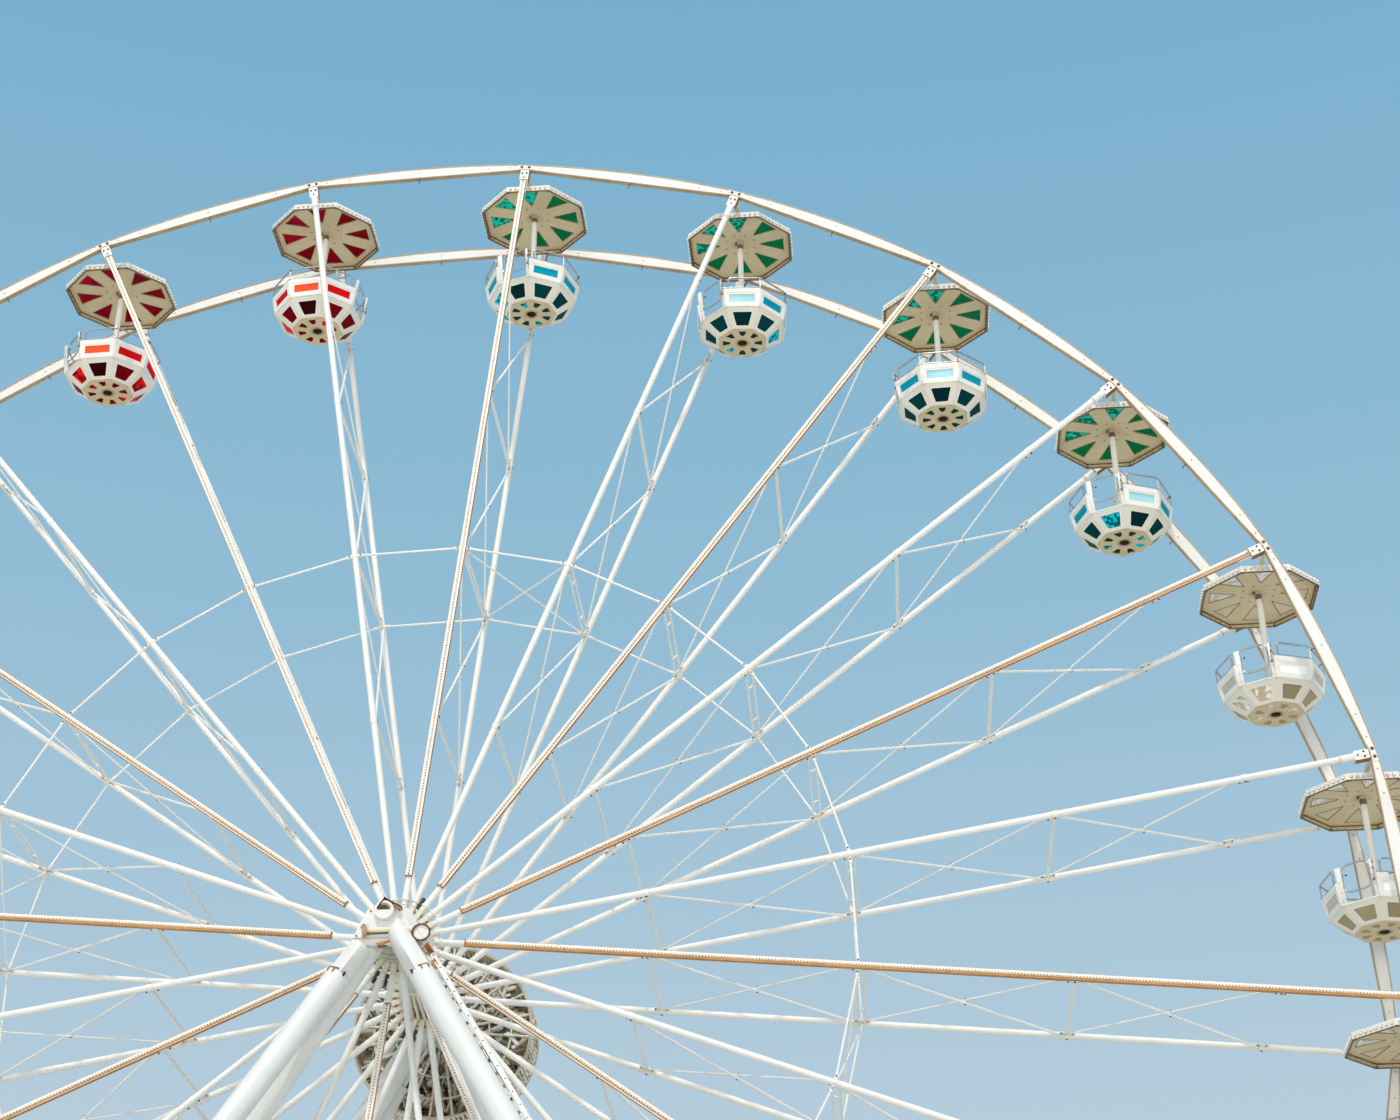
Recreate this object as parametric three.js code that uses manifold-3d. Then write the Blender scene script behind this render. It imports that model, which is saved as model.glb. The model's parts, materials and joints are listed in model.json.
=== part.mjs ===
// A fairground ferris wheel on two A-frame towers, with 24 open round cabins.
// Units are millimetres, +Z is up, the wheel turns about Y, and the origin is on the ground
// in the middle of the base. The cabins hang level from cross axles at the rims.

import * as THREE from 'three';
import { mergeVertices } from 'three/addons/utils/BufferGeometryUtils.js';
import Module from 'manifold-3d';

const wasm = await Module();
wasm.setup();

// Driving dimensions of the wheel
const cabinCount = 24;
const cabinsPerSector = 4;
const axleRadius = 16500;          // hub axis to the cabin axles
const hubHeight = 20400;           // hub axis over the ground
const firstAngle = 114.246;        // heading of the first spoke, degrees up from +X
const rimHalfSpacing = 1320;       // middle of the wheel to the middle of a rim
const flangeHalfSpacing = 1300;    // the same at the hub flanges
const seatGap = 0.3;               // clearance where two pieces meet
const overlap = 10;                // how far joined pieces and cuts run into each other

// Rims: box beams, deeper between the joints than at them
const rimWidth = 100;
const rimDepth = 120;
const rimMidDepth = 245;
const rimSteps = 3;                // straight pieces in the arched edge of one bay

// Spoke trusses
const flangeRadius = 600;
const flangeThickness = 60;
const chordSize = 106;
const rungSize = 62;
const diagonalSize = 46;
const tieSize = 40;
const stations = [0.252, 0.461, 0.671, 0.867].map((f) => f * axleRadius);
const tieStation = 1;
const bracketLength = 330;
const bracketWidth = 170;
const bracketPlate = 40;
const cabinAxleRadius = 50;

// Hub
const barrelRadius = 310;
const barrelHalfLength = 1700;
const shaftRadius = 120;
const shaftHalfLength = 2530;
const drumRadius = 1650;
const drumInner = 1450;
const drumFront = 2950;
const drumBack = 3850;
const drumBackPlate = 120;

// Cabins, heights measured down from the cabin axle
const canopyRadius = 1100;
const canopyRimTop = -200;
const canopyRimBottom = -330;
const canopyApex = -130;
const canopySheet = 32;
const canopyCeilingEdge = -250;
const poleRadius = 55;
const axleSleeveRadius = 92;
const axleSleeveLength = 300;
const floorRadius = 473;
const floorEdge = -2565;
const floorTop = -2505;
const dishRadius = 380;
const dishBottom = -2645;
const seatRecessRadius = 95;
const seatRecessTop = -2595;
const ridgeRadius = 870;
const ridgeHeight = -2350;
const basketRimRadius = 944;
const basketRimHeight = -1981;
const basketWall = 38;
const basketSleeveRadius = 92;
const basketSleeveTop = -1650;
const poleFlangeRadius = 80;
const poleFlangeThickness = 30;
const doorWidth = 580;
const railHeight = -1700;
const railSize = 32;
const railPostRadius = 13;
const railPostCorners = [0, 2, 5, 7];
const gateWidth = 490;
const gateTop = -1665;
const gateBottom = -2165;
const gateTube = 32;

// Which way each cabin's door faces, degrees from +X, as eight cabins in turn have it
const doorHeadings = [-136.5, -5.5, -108.1, -131.2, 177.3, -113.7, -116.5, -124.1];

// Towers
const headBack = 1750;
const headFront = 2600;
const headInset = 100;             // how far the head's plates stand back from the housing's ends
const housingRadius = 165;
const headApex = 210;              // heights from the hub axis
const headShoulder = 40;
const headShoulderHalf = 290;
const headBottom = -430;
const headBottomHalf = 500;
const crossTubeRadius = 52;
const crossTubeY = 2530;
const crossTubeDrop = 330;
const legSlope = 0.58;             // sideways run of a leg for each unit of fall
const legStartX = 30;
const legStart = 250;              // how far below the axis the legs begin, inside the head
const outerLegStartY = 2370;
const outerLegSplay = 0.192;       // outward run of an outer leg for each unit of fall
const innerLegY = 2150;
const outerLegRadius = 205;
const innerLegRadius = 205;
const neckRadius = 180;            // the round top of an outer leg's neck
const neckSize = 255;              // the square part under it
const neckTurn = 27;               // degrees that the square part faces outward
const neckSquareStart = 600;       // depths below the axis
const legNeckEnd = 1100;
const legOverrun = 300;            // length cut off square at the feet

// Base
const baseTop = 480;
const beamWidth = 700;
const beamEnd = 600;
const footPlate = 60;
const footPlateSize = 1000;

// Colour, roughness and metalness
const white = [0xf2eee6, 0.45, 0.1];
const shadedSteel = [0xd8d2c4, 0.6, 0.3];
const canopyColours = [0xc02030, 0x1f8f5f, 0xd9d4c8];
const basketColours = [0xd8402f, 0x2fa4b8, 0xe6e2da];

const deg = THREE.MathUtils.degToRad;
const spokeAngle = (index) => firstAngle - index * 360 / cabinCount;
const vec = (x, y, z) => new THREE.Vector3(x, y, z);

// Turns a closed three.js geometry into a solid for joining and cutting.
function solid(geometry) {
  const plain = geometry.clone();
  plain.deleteAttribute('normal');
  plain.deleteAttribute('uv');
  const merged = mergeVertices(plain, 1e-3);
  const index = merged.index.array;
  const corners = [];
  for (let i = 0; i < index.length; i += 3) {
    const [a, b, c] = [index[i], index[i + 1], index[i + 2]];
    if (a !== b && b !== c && a !== c) corners.push(a, b, c);
  }
  return new wasm.Manifold(new wasm.Mesh({
    numProp: 3,
    vertProperties: new Float32Array(merged.attributes.position.array),
    triVerts: new Uint32Array(corners),
  }));
}

const join = (solids) => solids.reduce((whole, piece) => whole.add(piece));

function mesh(name, shape, [color, roughness, metalness], body) {
  const data = shape.asOriginal().simplify(0.05).getMesh();
  const geometry = new THREE.BufferGeometry();
  geometry.setAttribute('position', new THREE.BufferAttribute(data.vertProperties, 3));
  geometry.setIndex(new THREE.BufferAttribute(data.triVerts, 1));
  geometry.computeVertexNormals();
  const part = new THREE.Mesh(geometry, new THREE.MeshStandardMaterial({ color, roughness, metalness }));
  part.name = name;
  body.add(part);
  return part;
}

// A box given by its lowest and highest corners.
function block(low, high) {
  const size = high.clone().sub(low);
  const geometry = new THREE.BoxGeometry(size.x, size.y, size.z);
  geometry.translate((low.x + high.x) / 2, (low.y + high.y) / 2, (low.z + high.z) / 2);
  return geometry;
}

// A straight bar of a few sides from one point to another; corner turns its section.
function bar(from, to, radius, sides, corner = 0) {
  const along = to.clone().sub(from);
  const geometry = new THREE.CylinderGeometry(radius, radius, along.length(), sides);
  geometry.rotateY(deg(corner));
  const turn = new THREE.Quaternion().setFromUnitVectors(vec(0, 1, 0), along.clone().normalize());
  geometry.applyQuaternion(turn);
  geometry.translate((from.x + to.x) / 2, (from.y + to.y) / 2, (from.z + to.z) / 2);
  return geometry;
}

// A turned shape about Z with flat sides; the first corner lies at the heading.
function turned(profile, sides, heading) {
  const points = profile.map(([radius, height]) => new THREE.Vector2(radius, height));
  const geometry = new THREE.LatheGeometry(points, sides);
  geometry.rotateX(Math.PI / 2);
  geometry.rotateZ(deg(heading + 90));
  return geometry;
}

// A many-sided disc or tube about Y between two places on that axis.
function wheelDisc(radius, low, high, sides) {
  const geometry = new THREE.CylinderGeometry(radius, radius, high - low, sides);
  geometry.translate(0, (low + high) / 2, 0);
  return geometry;
}

// Half the distance between the two chords of a truss at a radius.
function halfSpacing(radius) {
  const share = (radius - flangeRadius) / (axleRadius - flangeRadius);
  return flangeHalfSpacing + share * (rimHalfSpacing - flangeHalfSpacing);
}

// Turns a shape made along +X into the plane of a spoke.
function toSpoke(geometry, index) {
  return geometry.rotateY(-deg(spokeAngle(index)));
}

// A rim: each bay has a straight inner edge and an arched outer one.
function rim(side) {
  const inner = axleRadius - rimDepth / 2;
  const outerPoints = [];
  const innerPoints = [];
  for (let i = 0; i < cabinCount; i += 1) {
    const start = new THREE.Vector2(inner, 0).rotateAround(new THREE.Vector2(), deg(spokeAngle(-i)));
    const end = new THREE.Vector2(inner, 0).rotateAround(new THREE.Vector2(), deg(spokeAngle(-i - 1)));
    innerPoints.push(start);
    for (let step = 0; step < rimSteps; step += 1) {
      const share = step / rimSteps;
      const depth = rimDepth + (rimMidDepth - rimDepth) * (1 - (2 * share - 1) ** 2);
      const point = start.clone().lerp(end, share);
      outerPoints.push(point.setLength(point.length() + depth));
    }
  }
  const outline = new THREE.Shape(outerPoints);
  outline.holes.push(new THREE.Path(innerPoints));
  const geometry = new THREE.ExtrudeGeometry(outline, { depth: rimWidth, bevelEnabled: false, steps: 1 });
  geometry.rotateX(Math.PI / 2);
  geometry.translate(0, side * rimHalfSpacing + rimWidth / 2, 0);
  return solid(geometry);
}

// A chord runs straight out from its flange; the shear keeps its two ends square to the spoke.
function chord(side) {
  const start = flangeRadius + seatGap;
  const end = axleRadius - rimDepth / 2 - chordSize / 2 * Math.tan(deg(180 / cabinCount)) - seatGap;
  const geometry = block(vec(start, -chordSize / 2, -chordSize / 2), vec(end, chordSize / 2, chordSize / 2));
  const slope = (rimHalfSpacing - flangeHalfSpacing) / (axleRadius - flangeRadius);
  const shear = new THREE.Matrix4().set(
    1, 0, 0, 0,
    side * slope, 1, 0, side * (flangeHalfSpacing - slope * flangeRadius),
    0, 0, 1, 0,
    0, 0, 0, 1,
  );
  return geometry.applyMatrix4(shear);
}

// The end of a truss: a bracket box on each chord, a plate up beside the rim, and the cabin's axle.
function trussEnd() {
  const inside = rimHalfSpacing - rimWidth / 2 - seatGap;
  const boxEnd = axleRadius - rimDepth / 2 - bracketWidth / 2 * Math.tan(deg(180 / cabinCount)) - seatGap;
  const pieces = [];
  for (const side of [-1, 1]) {
    const near = side * (inside - bracketPlate);
    const far = side * (rimHalfSpacing + chordSize / 2);
    const face = side * inside;
    pieces.push(block(
      vec(axleRadius - bracketLength, Math.min(near, far), -bracketWidth / 2),
      vec(boxEnd, Math.max(near, far), bracketWidth / 2),
    ));
    pieces.push(block(
      vec(axleRadius - bracketLength, Math.min(near, face), -bracketWidth / 2),
      vec(axleRadius + rimDepth / 2, Math.max(near, face), bracketWidth / 2),
    ));
  }
  const reach = inside - bracketPlate / 2;
  pieces.push(bar(vec(axleRadius, -reach, 0), vec(axleRadius, reach, 0), cabinAxleRadius, 6));
  return pieces;
}

// One truss in its own plane, along +X.
function truss() {
  const pieces = [chord(-1), chord(1), ...trussEnd()];
  for (const station of stations.slice(0, -1)) {
    const reach = halfSpacing(station);
    pieces.push(block(
      vec(station - rungSize / 2, -reach, -rungSize / 2),
      vec(station + rungSize / 2, reach, rungSize / 2),
    ));
  }
  for (let panel = 1; panel < stations.length; panel += 1) {
    const [near, far] = [stations[panel - 1], stations[panel]];
    const side = panel % 2 ? 1 : -1;
    pieces.push(bar(
      vec(near, -side * halfSpacing(near), 0),
      vec(far, side * halfSpacing(far), 0),
      diagonalSize / Math.SQRT2, 4, 45,
    ));
  }
  return pieces;
}

// Tie rods run from truss to truss; the last one of a sector stops at the next sector's chord.
function tieRods(index, stopsShort) {
  const radius = stations[tieStation];
  const pieces = [];
  for (const side of [-1, 1]) {
    const place = (i, inset) => {
      const angle = deg(spokeAngle(i));
      const along = vec(Math.cos(angle), 0, Math.sin(angle)).multiplyScalar(radius);
      along.addScaledVector(vec(-Math.sin(angle), 0, Math.cos(angle)), inset);
      return along.setY(side * halfSpacing(radius));
    };
    const gap = chordSize / 2 + tieSize * Math.sin(deg(180 / cabinCount)) + seatGap;
    const end = stopsShort ? place(index + 1, gap) : place(index + 1, 0);
    pieces.push(bar(place(index, 0), end, tieSize / Math.SQRT2, 4, 45));
  }
  return pieces;
}

function sector(first) {
  const solids = [];
  for (let i = first; i < first + cabinsPerSector; i += 1) {
    solids.push(...truss().map((piece) => solid(toSpoke(piece, i))));
    solids.push(...tieRods(i, i === first + cabinsPerSector - 1).map(solid));
  }
  return join(solids);
}

function flange(side) {
  const outer = flangeRadius / Math.cos(deg(180 / cabinCount));
  const low = side * flangeHalfSpacing - flangeThickness / 2;
  const disc = wheelDisc(outer, low, low + flangeThickness, cabinCount);
  disc.rotateY(deg(90 - spokeAngle(0) + 180 / cabinCount));
  return solid(disc);
}

function hub() {
  const sides = 12;
  const pieces = [
    flange(-1),
    flange(1),
    solid(wheelDisc(barrelRadius, -barrelHalfLength, barrelHalfLength, sides)),
    solid(wheelDisc(shaftRadius, -shaftHalfLength, drumBack - drumBackPlate / 2, sides)),
  ];
  const shell = solid(wheelDisc(drumRadius, drumFront, drumBack, cabinCount));
  const hollow = solid(wheelDisc(drumInner, drumFront - overlap, drumBack - drumBackPlate, cabinCount));
  pieces.push(shell.subtract(hollow));
  return join(pieces);
}

// The pole with its canopy, its sleeve on the cabin axle and the flange that carries the basket.
function canopy() {
  const inner = canopyRadius - canopySheet;
  const roof = turned([
    [0, canopyApex - canopySheet],
    [inner, canopyCeilingEdge],
    [inner, canopyRimBottom],
    [canopyRadius, canopyRimBottom],
    [canopyRadius, canopyRimTop],
    [0, canopyApex],
  ], 8, 22.5);
  const flangeTop = seatRecessTop - seatGap;
  const pole = bar(vec(0, 0, flangeTop - poleFlangeThickness), vec(0, 0, 0), poleRadius, 6, 30);
  const foot = bar(vec(0, 0, flangeTop - poleFlangeThickness), vec(0, 0, flangeTop), poleFlangeRadius, 6);
  const half = axleSleeveLength / 2;
  const sleeve = bar(vec(0, -half, 0), vec(0, half, 0), axleSleeveRadius, 6);
  return join([roof, pole, foot, sleeve].map(solid));
}

// The hole for the cabin axle; its flats face the axle's corners, so it turns freely.
function axleHole(index) {
  const radius = (cabinAxleRadius + seatGap) / Math.cos(deg(30));
  const reach = axleSleeveLength;
  const hole = bar(vec(0, -reach, 0), vec(0, reach, 0), radius, 6, 30);
  return solid(toSpoke(hole, index));
}

// A thin post on a corner of the basket, up to the guard rail.
function railPost(corner) {
  const heading = deg(22.5 + 45 * corner);
  const place = basketRimRadius - basketWall / 2;
  const foot = vec(place * Math.cos(heading), place * Math.sin(heading), basketRimHeight - overlap);
  const top = foot.clone().setZ(railHeight - railSize / 2);
  return solid(bar(foot, top, railPostRadius, 4));
}

// A block that opens the door side between two heights.
function doorGap(low, high) {
  return solid(block(vec(floorRadius, -doorWidth / 2, low), vec(canopyRadius, doorWidth / 2, high)));
}

// The gate: a loop of tube in the doorway, hung on the door post.
function gate() {
  const place = (ridgeRadius + basketRimRadius) / 2 * Math.cos(deg(22.5)) - railSize;
  const hinge = basketRimRadius * Math.sin(deg(22.5));
  const loop = solid(block(
    vec(place - gateTube / 2, -gateWidth / 2, gateBottom),
    vec(place + gateTube / 2, hinge, gateTop),
  ));
  const hole = solid(block(
    vec(place - gateTube, -gateWidth / 2 + gateTube, gateBottom + gateTube),
    vec(place + gateTube, gateWidth / 2 - gateTube, gateTop - gateTube),
  ));
  return loop.subtract(hole);
}

// An open octagonal tub with a doorway, a sleeve on the pole and a guard rail on posts.
function basket() {
  const tub = solid(turned([
    [0, dishBottom],
    [dishRadius, dishBottom],
    [floorRadius, floorEdge],
    [ridgeRadius, ridgeHeight],
    [basketRimRadius, basketRimHeight],
    [basketRimRadius - basketWall, basketRimHeight],
    [ridgeRadius - basketWall, ridgeHeight + basketWall],
    [floorRadius, floorTop],
    [0, floorTop],
  ], 8, 22.5));
  const upright = (radius, low, high) => solid(bar(vec(0, 0, low), vec(0, 0, high), radius, 6));
  const sleeve = upright(basketSleeveRadius, floorTop - overlap, basketSleeveTop);
  const holeRadius = (poleRadius + seatGap) / Math.cos(deg(30));
  const poleHole = upright(holeRadius, dishBottom - overlap, basketSleeveTop + overlap);
  const recess = upright(seatRecessRadius, dishBottom - overlap, seatRecessTop);
  const doorway = doorGap(ridgeHeight + basketWall, basketRimHeight + overlap);
  const railRing = solid(turned([
    [basketRimRadius - railSize, railHeight - railSize],
    [basketRimRadius, railHeight - railSize],
    [basketRimRadius, railHeight],
    [basketRimRadius - railSize, railHeight],
    [basketRimRadius - railSize, railHeight - railSize],
  ], 8, 22.5));
  const rail = railRing.subtract(doorGap(railHeight - 2 * railSize, railHeight + railSize));
  const body = join([tub.subtract(doorway), sleeve]).subtract(poleHole).subtract(recess);
  return join([body, rail, ...railPostCorners.map(railPost), gate()]);
}

// A point on the axis of a leg, at a depth below the hub axis.
function legPlace(side, across, startY, splay, fall) {
  return vec(across * (legStartX + legSlope * fall), side * (startY + splay * fall), hubHeight - fall);
}

// A leg between two depths below the hub axis.
function leg(side, across, radius, startY, splay, from, to) {
  const [start, end] = [from, to].map((fall) => legPlace(side, across, startY, splay, fall));
  return solid(bar(start, end, radius, 8, 22.5));
}

// The square part of an outer leg's neck, turned a little outward about the leg's axis.
function squareNeck(side, across) {
  const depths = [neckSquareStart, legNeckEnd + overlap];
  const [start, end] = depths.map((fall) => legPlace(side, across, outerLegStartY, outerLegSplay, fall));
  const along = end.clone().sub(start);
  const geometry = new THREE.BoxGeometry(neckSize, along.length(), neckSize);
  along.normalize();
  const front = vec(0, side, 0).projectOnPlane(along).normalize();
  front.applyAxisAngle(along, deg(side * across * neckTurn));
  const turn = new THREE.Matrix4().makeBasis(along.clone().cross(front), along, front);
  turn.setPosition(start.add(end).multiplyScalar(0.5));
  return solid(geometry.applyMatrix4(turn));
}

function footAt(x, y) {
  const half = footPlateSize / 2;
  const low = baseTop + seatGap;
  return solid(block(vec(x - half, y - half, low), vec(x + half, y + half, low + footPlate)));
}

// One A-frame tower: a bearing head with two splayed legs and, behind them, two that stay in one plane.
function tower(side) {
  const fall = hubHeight - baseTop;
  const footX = legStartX + legSlope * fall;
  const outerY = side * (outerLegStartY + outerLegSplay * fall);
  const innerY = side * innerLegY;
  const [low, high] = side < 0 ? [-headFront, -headBack] : [headBack, headFront];
  const housing = solid(wheelDisc(housingRadius, low, high, 12).translate(0, 0, hubHeight));
  const outline = new THREE.Shape([
    new THREE.Vector2(-headBottomHalf, headBottom),
    new THREE.Vector2(headBottomHalf, headBottom),
    new THREE.Vector2(headShoulderHalf, headShoulder),
    new THREE.Vector2(0, headApex),
    new THREE.Vector2(-headShoulderHalf, headShoulder),
  ]);
  const plateDepth = high - low - 2 * headInset;
  const plate = new THREE.ExtrudeGeometry(outline, { depth: plateDepth, bevelEnabled: false, steps: 1 });
  plate.rotateX(Math.PI / 2);
  plate.translate(0, high - headInset, hubHeight);
  const crossEnd = vec(headBottomHalf, side * crossTubeY, hubHeight - crossTubeDrop);
  const crossTube = bar(crossEnd.clone().setX(-headBottomHalf), crossEnd, crossTubeRadius, 6);
  const pieces = [housing, solid(plate), solid(crossTube)];
  const below = solid(block(
    vec(-axleRadius, -axleRadius, -legOverrun * 2),
    vec(axleRadius, axleRadius, baseTop + footPlate / 2),
  ));
  for (const across of [-1, 1]) {
    const outer = (radius, from, to) => leg(side, across, radius, outerLegStartY, outerLegSplay, from, to);
    const neck = outer(neckRadius, legStart, neckSquareStart + overlap);
    const thick = outer(outerLegRadius, legNeckEnd, fall + legOverrun);
    const inner = leg(side, across, innerLegRadius, innerLegY, 0, legStart, fall + legOverrun);
    pieces.push(neck, squareNeck(side, across), thick.subtract(below), inner.subtract(below));
    pieces.push(footAt(across * footX, outerY), footAt(across * footX, innerY));
  }
  const boreRadius = (shaftRadius + seatGap) / Math.cos(deg(15));
  const bore = wheelDisc(boreRadius, low - overlap, high + overlap, 12);
  bore.rotateY(deg(15)).translate(0, 0, hubHeight);
  return join(pieces).subtract(solid(bore));
}

// The base: four beams across and four along, as one flat grid.
function baseFrame() {
  const fall = hubHeight - baseTop;
  const footX = legStartX + legSlope * fall;
  const outerY = outerLegStartY + outerLegSplay * fall;
  const half = beamWidth / 2;
  const acrossX = [-footX, -footX / 3, footX / 3, footX];
  const alongY = [-outerY, -innerLegY, innerLegY, outerY];
  const [endX, endY] = [footX + beamEnd, outerY + beamEnd];
  let grid = solid(block(vec(-endX, -endY, 0), vec(endX, endY, baseTop)));
  for (let i = 1; i < acrossX.length; i += 1) {
    for (let j = 1; j < alongY.length; j += 1) {
      grid = grid.subtract(solid(block(
        vec(acrossX[i - 1] + half, alongY[j - 1] + half, -overlap),
        vec(acrossX[i] - half, alongY[j] - half, baseTop + overlap),
      )));
    }
  }
  return grid;
}

const wheel = new THREE.Group();
const structure = new THREE.Group();
const turning = new THREE.Group();
turning.position.z = hubHeight;
wheel.add(structure, turning);

mesh('base_frame', baseFrame(), white, structure);
mesh('front_tower', tower(-1), white, structure);
mesh('rear_tower', tower(1), white, structure);
mesh('hub', hub(), shadedSteel, turning);
mesh('front_rim', rim(-1), white, turning);
mesh('rear_rim', rim(1), white, turning);
for (let s = 0; s < cabinCount / cabinsPerSector; s += 1) {
  mesh(`spokes_${s + 1}`, sector(s * cabinsPerSector), white, turning);
}

const canopyShape = canopy();
const basketShape = basket();
for (let i = 0; i < cabinCount; i += 1) {
  const number = String(i + 1).padStart(2, '0');
  const angle = deg(spokeAngle(i));
  const group = Math.floor(((i + 2) % 12) / 4);
  const cabin = new THREE.Group();
  cabin.position.set(axleRadius * Math.cos(angle), 0, axleRadius * Math.sin(angle));
  turning.add(cabin);
  mesh(`canopy_${number}`, canopyShape.subtract(axleHole(i)), [canopyColours[group], 0.5, 0], cabin);
  const tub = mesh(`basket_${number}`, basketShape, [basketColours[group], 0.4, 0], cabin);
  tub.rotation.z = deg(doorHeadings[i % doorHeadings.length]);
}

export default wheel;
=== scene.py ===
"""A fairground ferris wheel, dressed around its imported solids. Metres, +Z up; the wheel turns about Y."""
import json
import math
import random

import bmesh
import bpy
from mathutils import Matrix, Vector


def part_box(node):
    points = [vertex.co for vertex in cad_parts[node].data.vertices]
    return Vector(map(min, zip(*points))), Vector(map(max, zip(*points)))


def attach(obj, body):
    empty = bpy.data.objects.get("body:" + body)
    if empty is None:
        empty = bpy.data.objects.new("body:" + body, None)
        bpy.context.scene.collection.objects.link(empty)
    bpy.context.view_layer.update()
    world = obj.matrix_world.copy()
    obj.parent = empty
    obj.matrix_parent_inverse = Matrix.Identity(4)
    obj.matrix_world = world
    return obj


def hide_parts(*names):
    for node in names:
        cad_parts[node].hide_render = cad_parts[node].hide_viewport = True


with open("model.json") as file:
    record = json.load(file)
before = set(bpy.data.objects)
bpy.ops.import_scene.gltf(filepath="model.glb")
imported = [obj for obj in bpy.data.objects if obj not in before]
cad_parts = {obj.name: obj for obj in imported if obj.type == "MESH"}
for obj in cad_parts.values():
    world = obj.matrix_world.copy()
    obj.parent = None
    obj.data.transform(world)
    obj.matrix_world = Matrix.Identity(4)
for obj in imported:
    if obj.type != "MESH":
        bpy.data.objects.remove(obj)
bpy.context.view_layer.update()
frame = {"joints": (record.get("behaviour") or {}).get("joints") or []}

# Places that the frame gives
joints = {joint["name"]: joint for joint in frame["joints"]}
hub = Vector(joints["wheel_spin"]["pos_m"])
cabin_count = len([name for name in joints if name.endswith("_level")])
axles = [Vector(joints[f"cabin_{k + 1:02d}_level"]["pos_m"]) for k in range(cabin_count)]
axle_radius = (axles[0] - hub).length
first_angle = math.atan2(axles[0].z - hub.z, axles[0].x)
bay = math.tau / cabin_count
rim_low, rim_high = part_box("front_rim")
rim_y = abs(rim_low.y + rim_high.y) / 2
rim_width = rim_high.y - rim_low.y
base_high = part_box("base_frame")[1]
base_top = base_high.z
cabins_per_sector = 4

# Rims
rim_depth = 0.12
rim_mid_depth = 0.245
rim_steps = 16
lip = 0.016
lip_proud = 0.012

# Spoke trusses
flange_radius = 0.6
flange_y = 1.3
chord_radius = 0.056
stations = [share * axle_radius for share in (0.252, 0.461, 0.671, 0.867)]
rung_radius = 0.03
diagonal_radius = 0.023
thin_diagonal_radius = 0.016
tie_radius = 0.02
sleeve_length = 0.52
bracket_length = 0.33
bracket_width = 0.17
cabin_axle_radius = 0.05
strip_start = 1.14
strip_width = 0.104
# Width of the lamp strip's band of painted shadow on an upright spoke
strip_shadow_band = 0.03
strip_depth = 0.03
cap_radius = 0.021
cap_pitch = 0.052
braced_bays = (2, 8, 14, 20)

# Hub
shaft_radius = 0.12
flange_disc = 0.46
clip_bays = (3, 14, 15, 17)
shaft_front = -2.53
drum_radius = 1.65
drum_inner = 1.45
drum_front = 2.95
drum_back = 3.85
slat_pitch = 0.062
slats_each_way = 25
light_slats_below = 8
bars_per_bay = 5
clutter_pieces = 900
clutter_lamps = 330

# Cabins, heights from the cabin axle
canopy_radius = 1.1
canopy_top = -0.2
canopy_bottom = -0.33
canopy_apex = -0.13
ceiling_centre = -0.162
ceiling_edge = -0.25
canopy_sheet = 0.032
bulbs_per_side = 8
bulb_pitch = 0.1
pole_radius = 0.055
dish_radius = 0.485
dish_bottom = -2.645
floor_radius = 0.5
floor_edge = -2.635
floor_top = -2.505
ridge_radius = 0.87
ridge_height = -2.35
tub_radius = 0.944
tub_height = -1.981
wall = 0.036
sleeve_radius = 0.092
sleeve_top = -1.65
rail_radius = 0.017
rail_height = -1.7
post_top = -1.72
gate_half = 0.245
gate_top = -1.68
gate_bottom = -2.165
gate_place = 0.83

# Which way each cabin's door faces, degrees from +X, as eight cabins in turn have it
door_headings = [-136.5, -5.5, -108.1, -131.2, 177.3, -113.7, -116.5, -124.1]

# Towers, depths below the hub axis
leg_slope = 0.58
leg_start_x = 0.03
leg_start = 0.25
outer_start_y = 2.37
outer_splay = 0.192
inner_y = 2.15
leg_radius = 0.205
neck_radius = 0.18
neck_size = 0.255
neck_turn = math.radians(27)
neck_start = {-1: 0.58, 1: 0.27}
neck_round_end = 0.62
neck_square_start = 0.8
neck_end = 1.1
head_front = 2.6
head_back = 1.75
head_inset = 0.1
head_step_front = 2.1
housing_radius = 0.165
housing_bore = 0.112
head_outline = [(-0.5, -0.43), (0.5, -0.43), (0.29, 0.04), (0.0, 0.21), (-0.29, 0.04)]
head_step_outline = [(-0.54, -0.25), (0.56, -0.25), (0.33, 0.2), (0.0, 0.33), (-0.33, 0.2)]
cross_tube_y = 2.53
cross_tube_drop = 0.33
cross_tube_radius = 0.052
cross_tube_ends = (-0.31, 0.48)
flange_depths = (7.6, 13.9)
tray_offset = 0.295
tray_width = 0.076
rivet_pitch = 0.26
beam_width = 0.7
stiffener_pitch = 1.1
foot_plate = 0.06

# The photograph's camera, fitted to the rims, spokes and cabins
camera_place = Vector((7.7515, -38.2226, 4.9812))
camera_right = Vector((0.99691, 0.07806, -0.00896))
camera_up = Vector((0.04816, -0.51706, 0.8546))
photo_focal_px = 2416.32
photo_width_px = 1400
sensor = 36.0

# The sky by height, from the horizon up: blue all round, with a bright warm haze low in front of the wheel
clear_sky = [(0.0, (0.6, 0.7, 0.76)), (0.28, (0.49, 0.625, 0.72)), (0.5, (0.29, 0.508, 0.665)),
             (0.7, (0.188, 0.425, 0.608))]
hazy_sky = [(0.0, (2.95, 2.72, 2.48)), (0.17, (2.0, 1.9, 1.77)), *clear_sky[1:]]
haze_begins, haze_full = -0.2, -0.9

# An octagon whose corners are 1 from its middle: how far out its sides lie, and half a side's length
octagon = math.cos(math.pi / 8)
half_side = math.sin(math.pi / 8)
eighth = math.tau / 8

at = Matrix.Translation


def spoke_angle(k):
    return first_angle - k * bay


def polar(radius, angle, y=0.0):
    return Vector((radius * math.cos(angle), y, radius * math.sin(angle)))


def raised(height):
    return Vector((0, 0, height))


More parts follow.
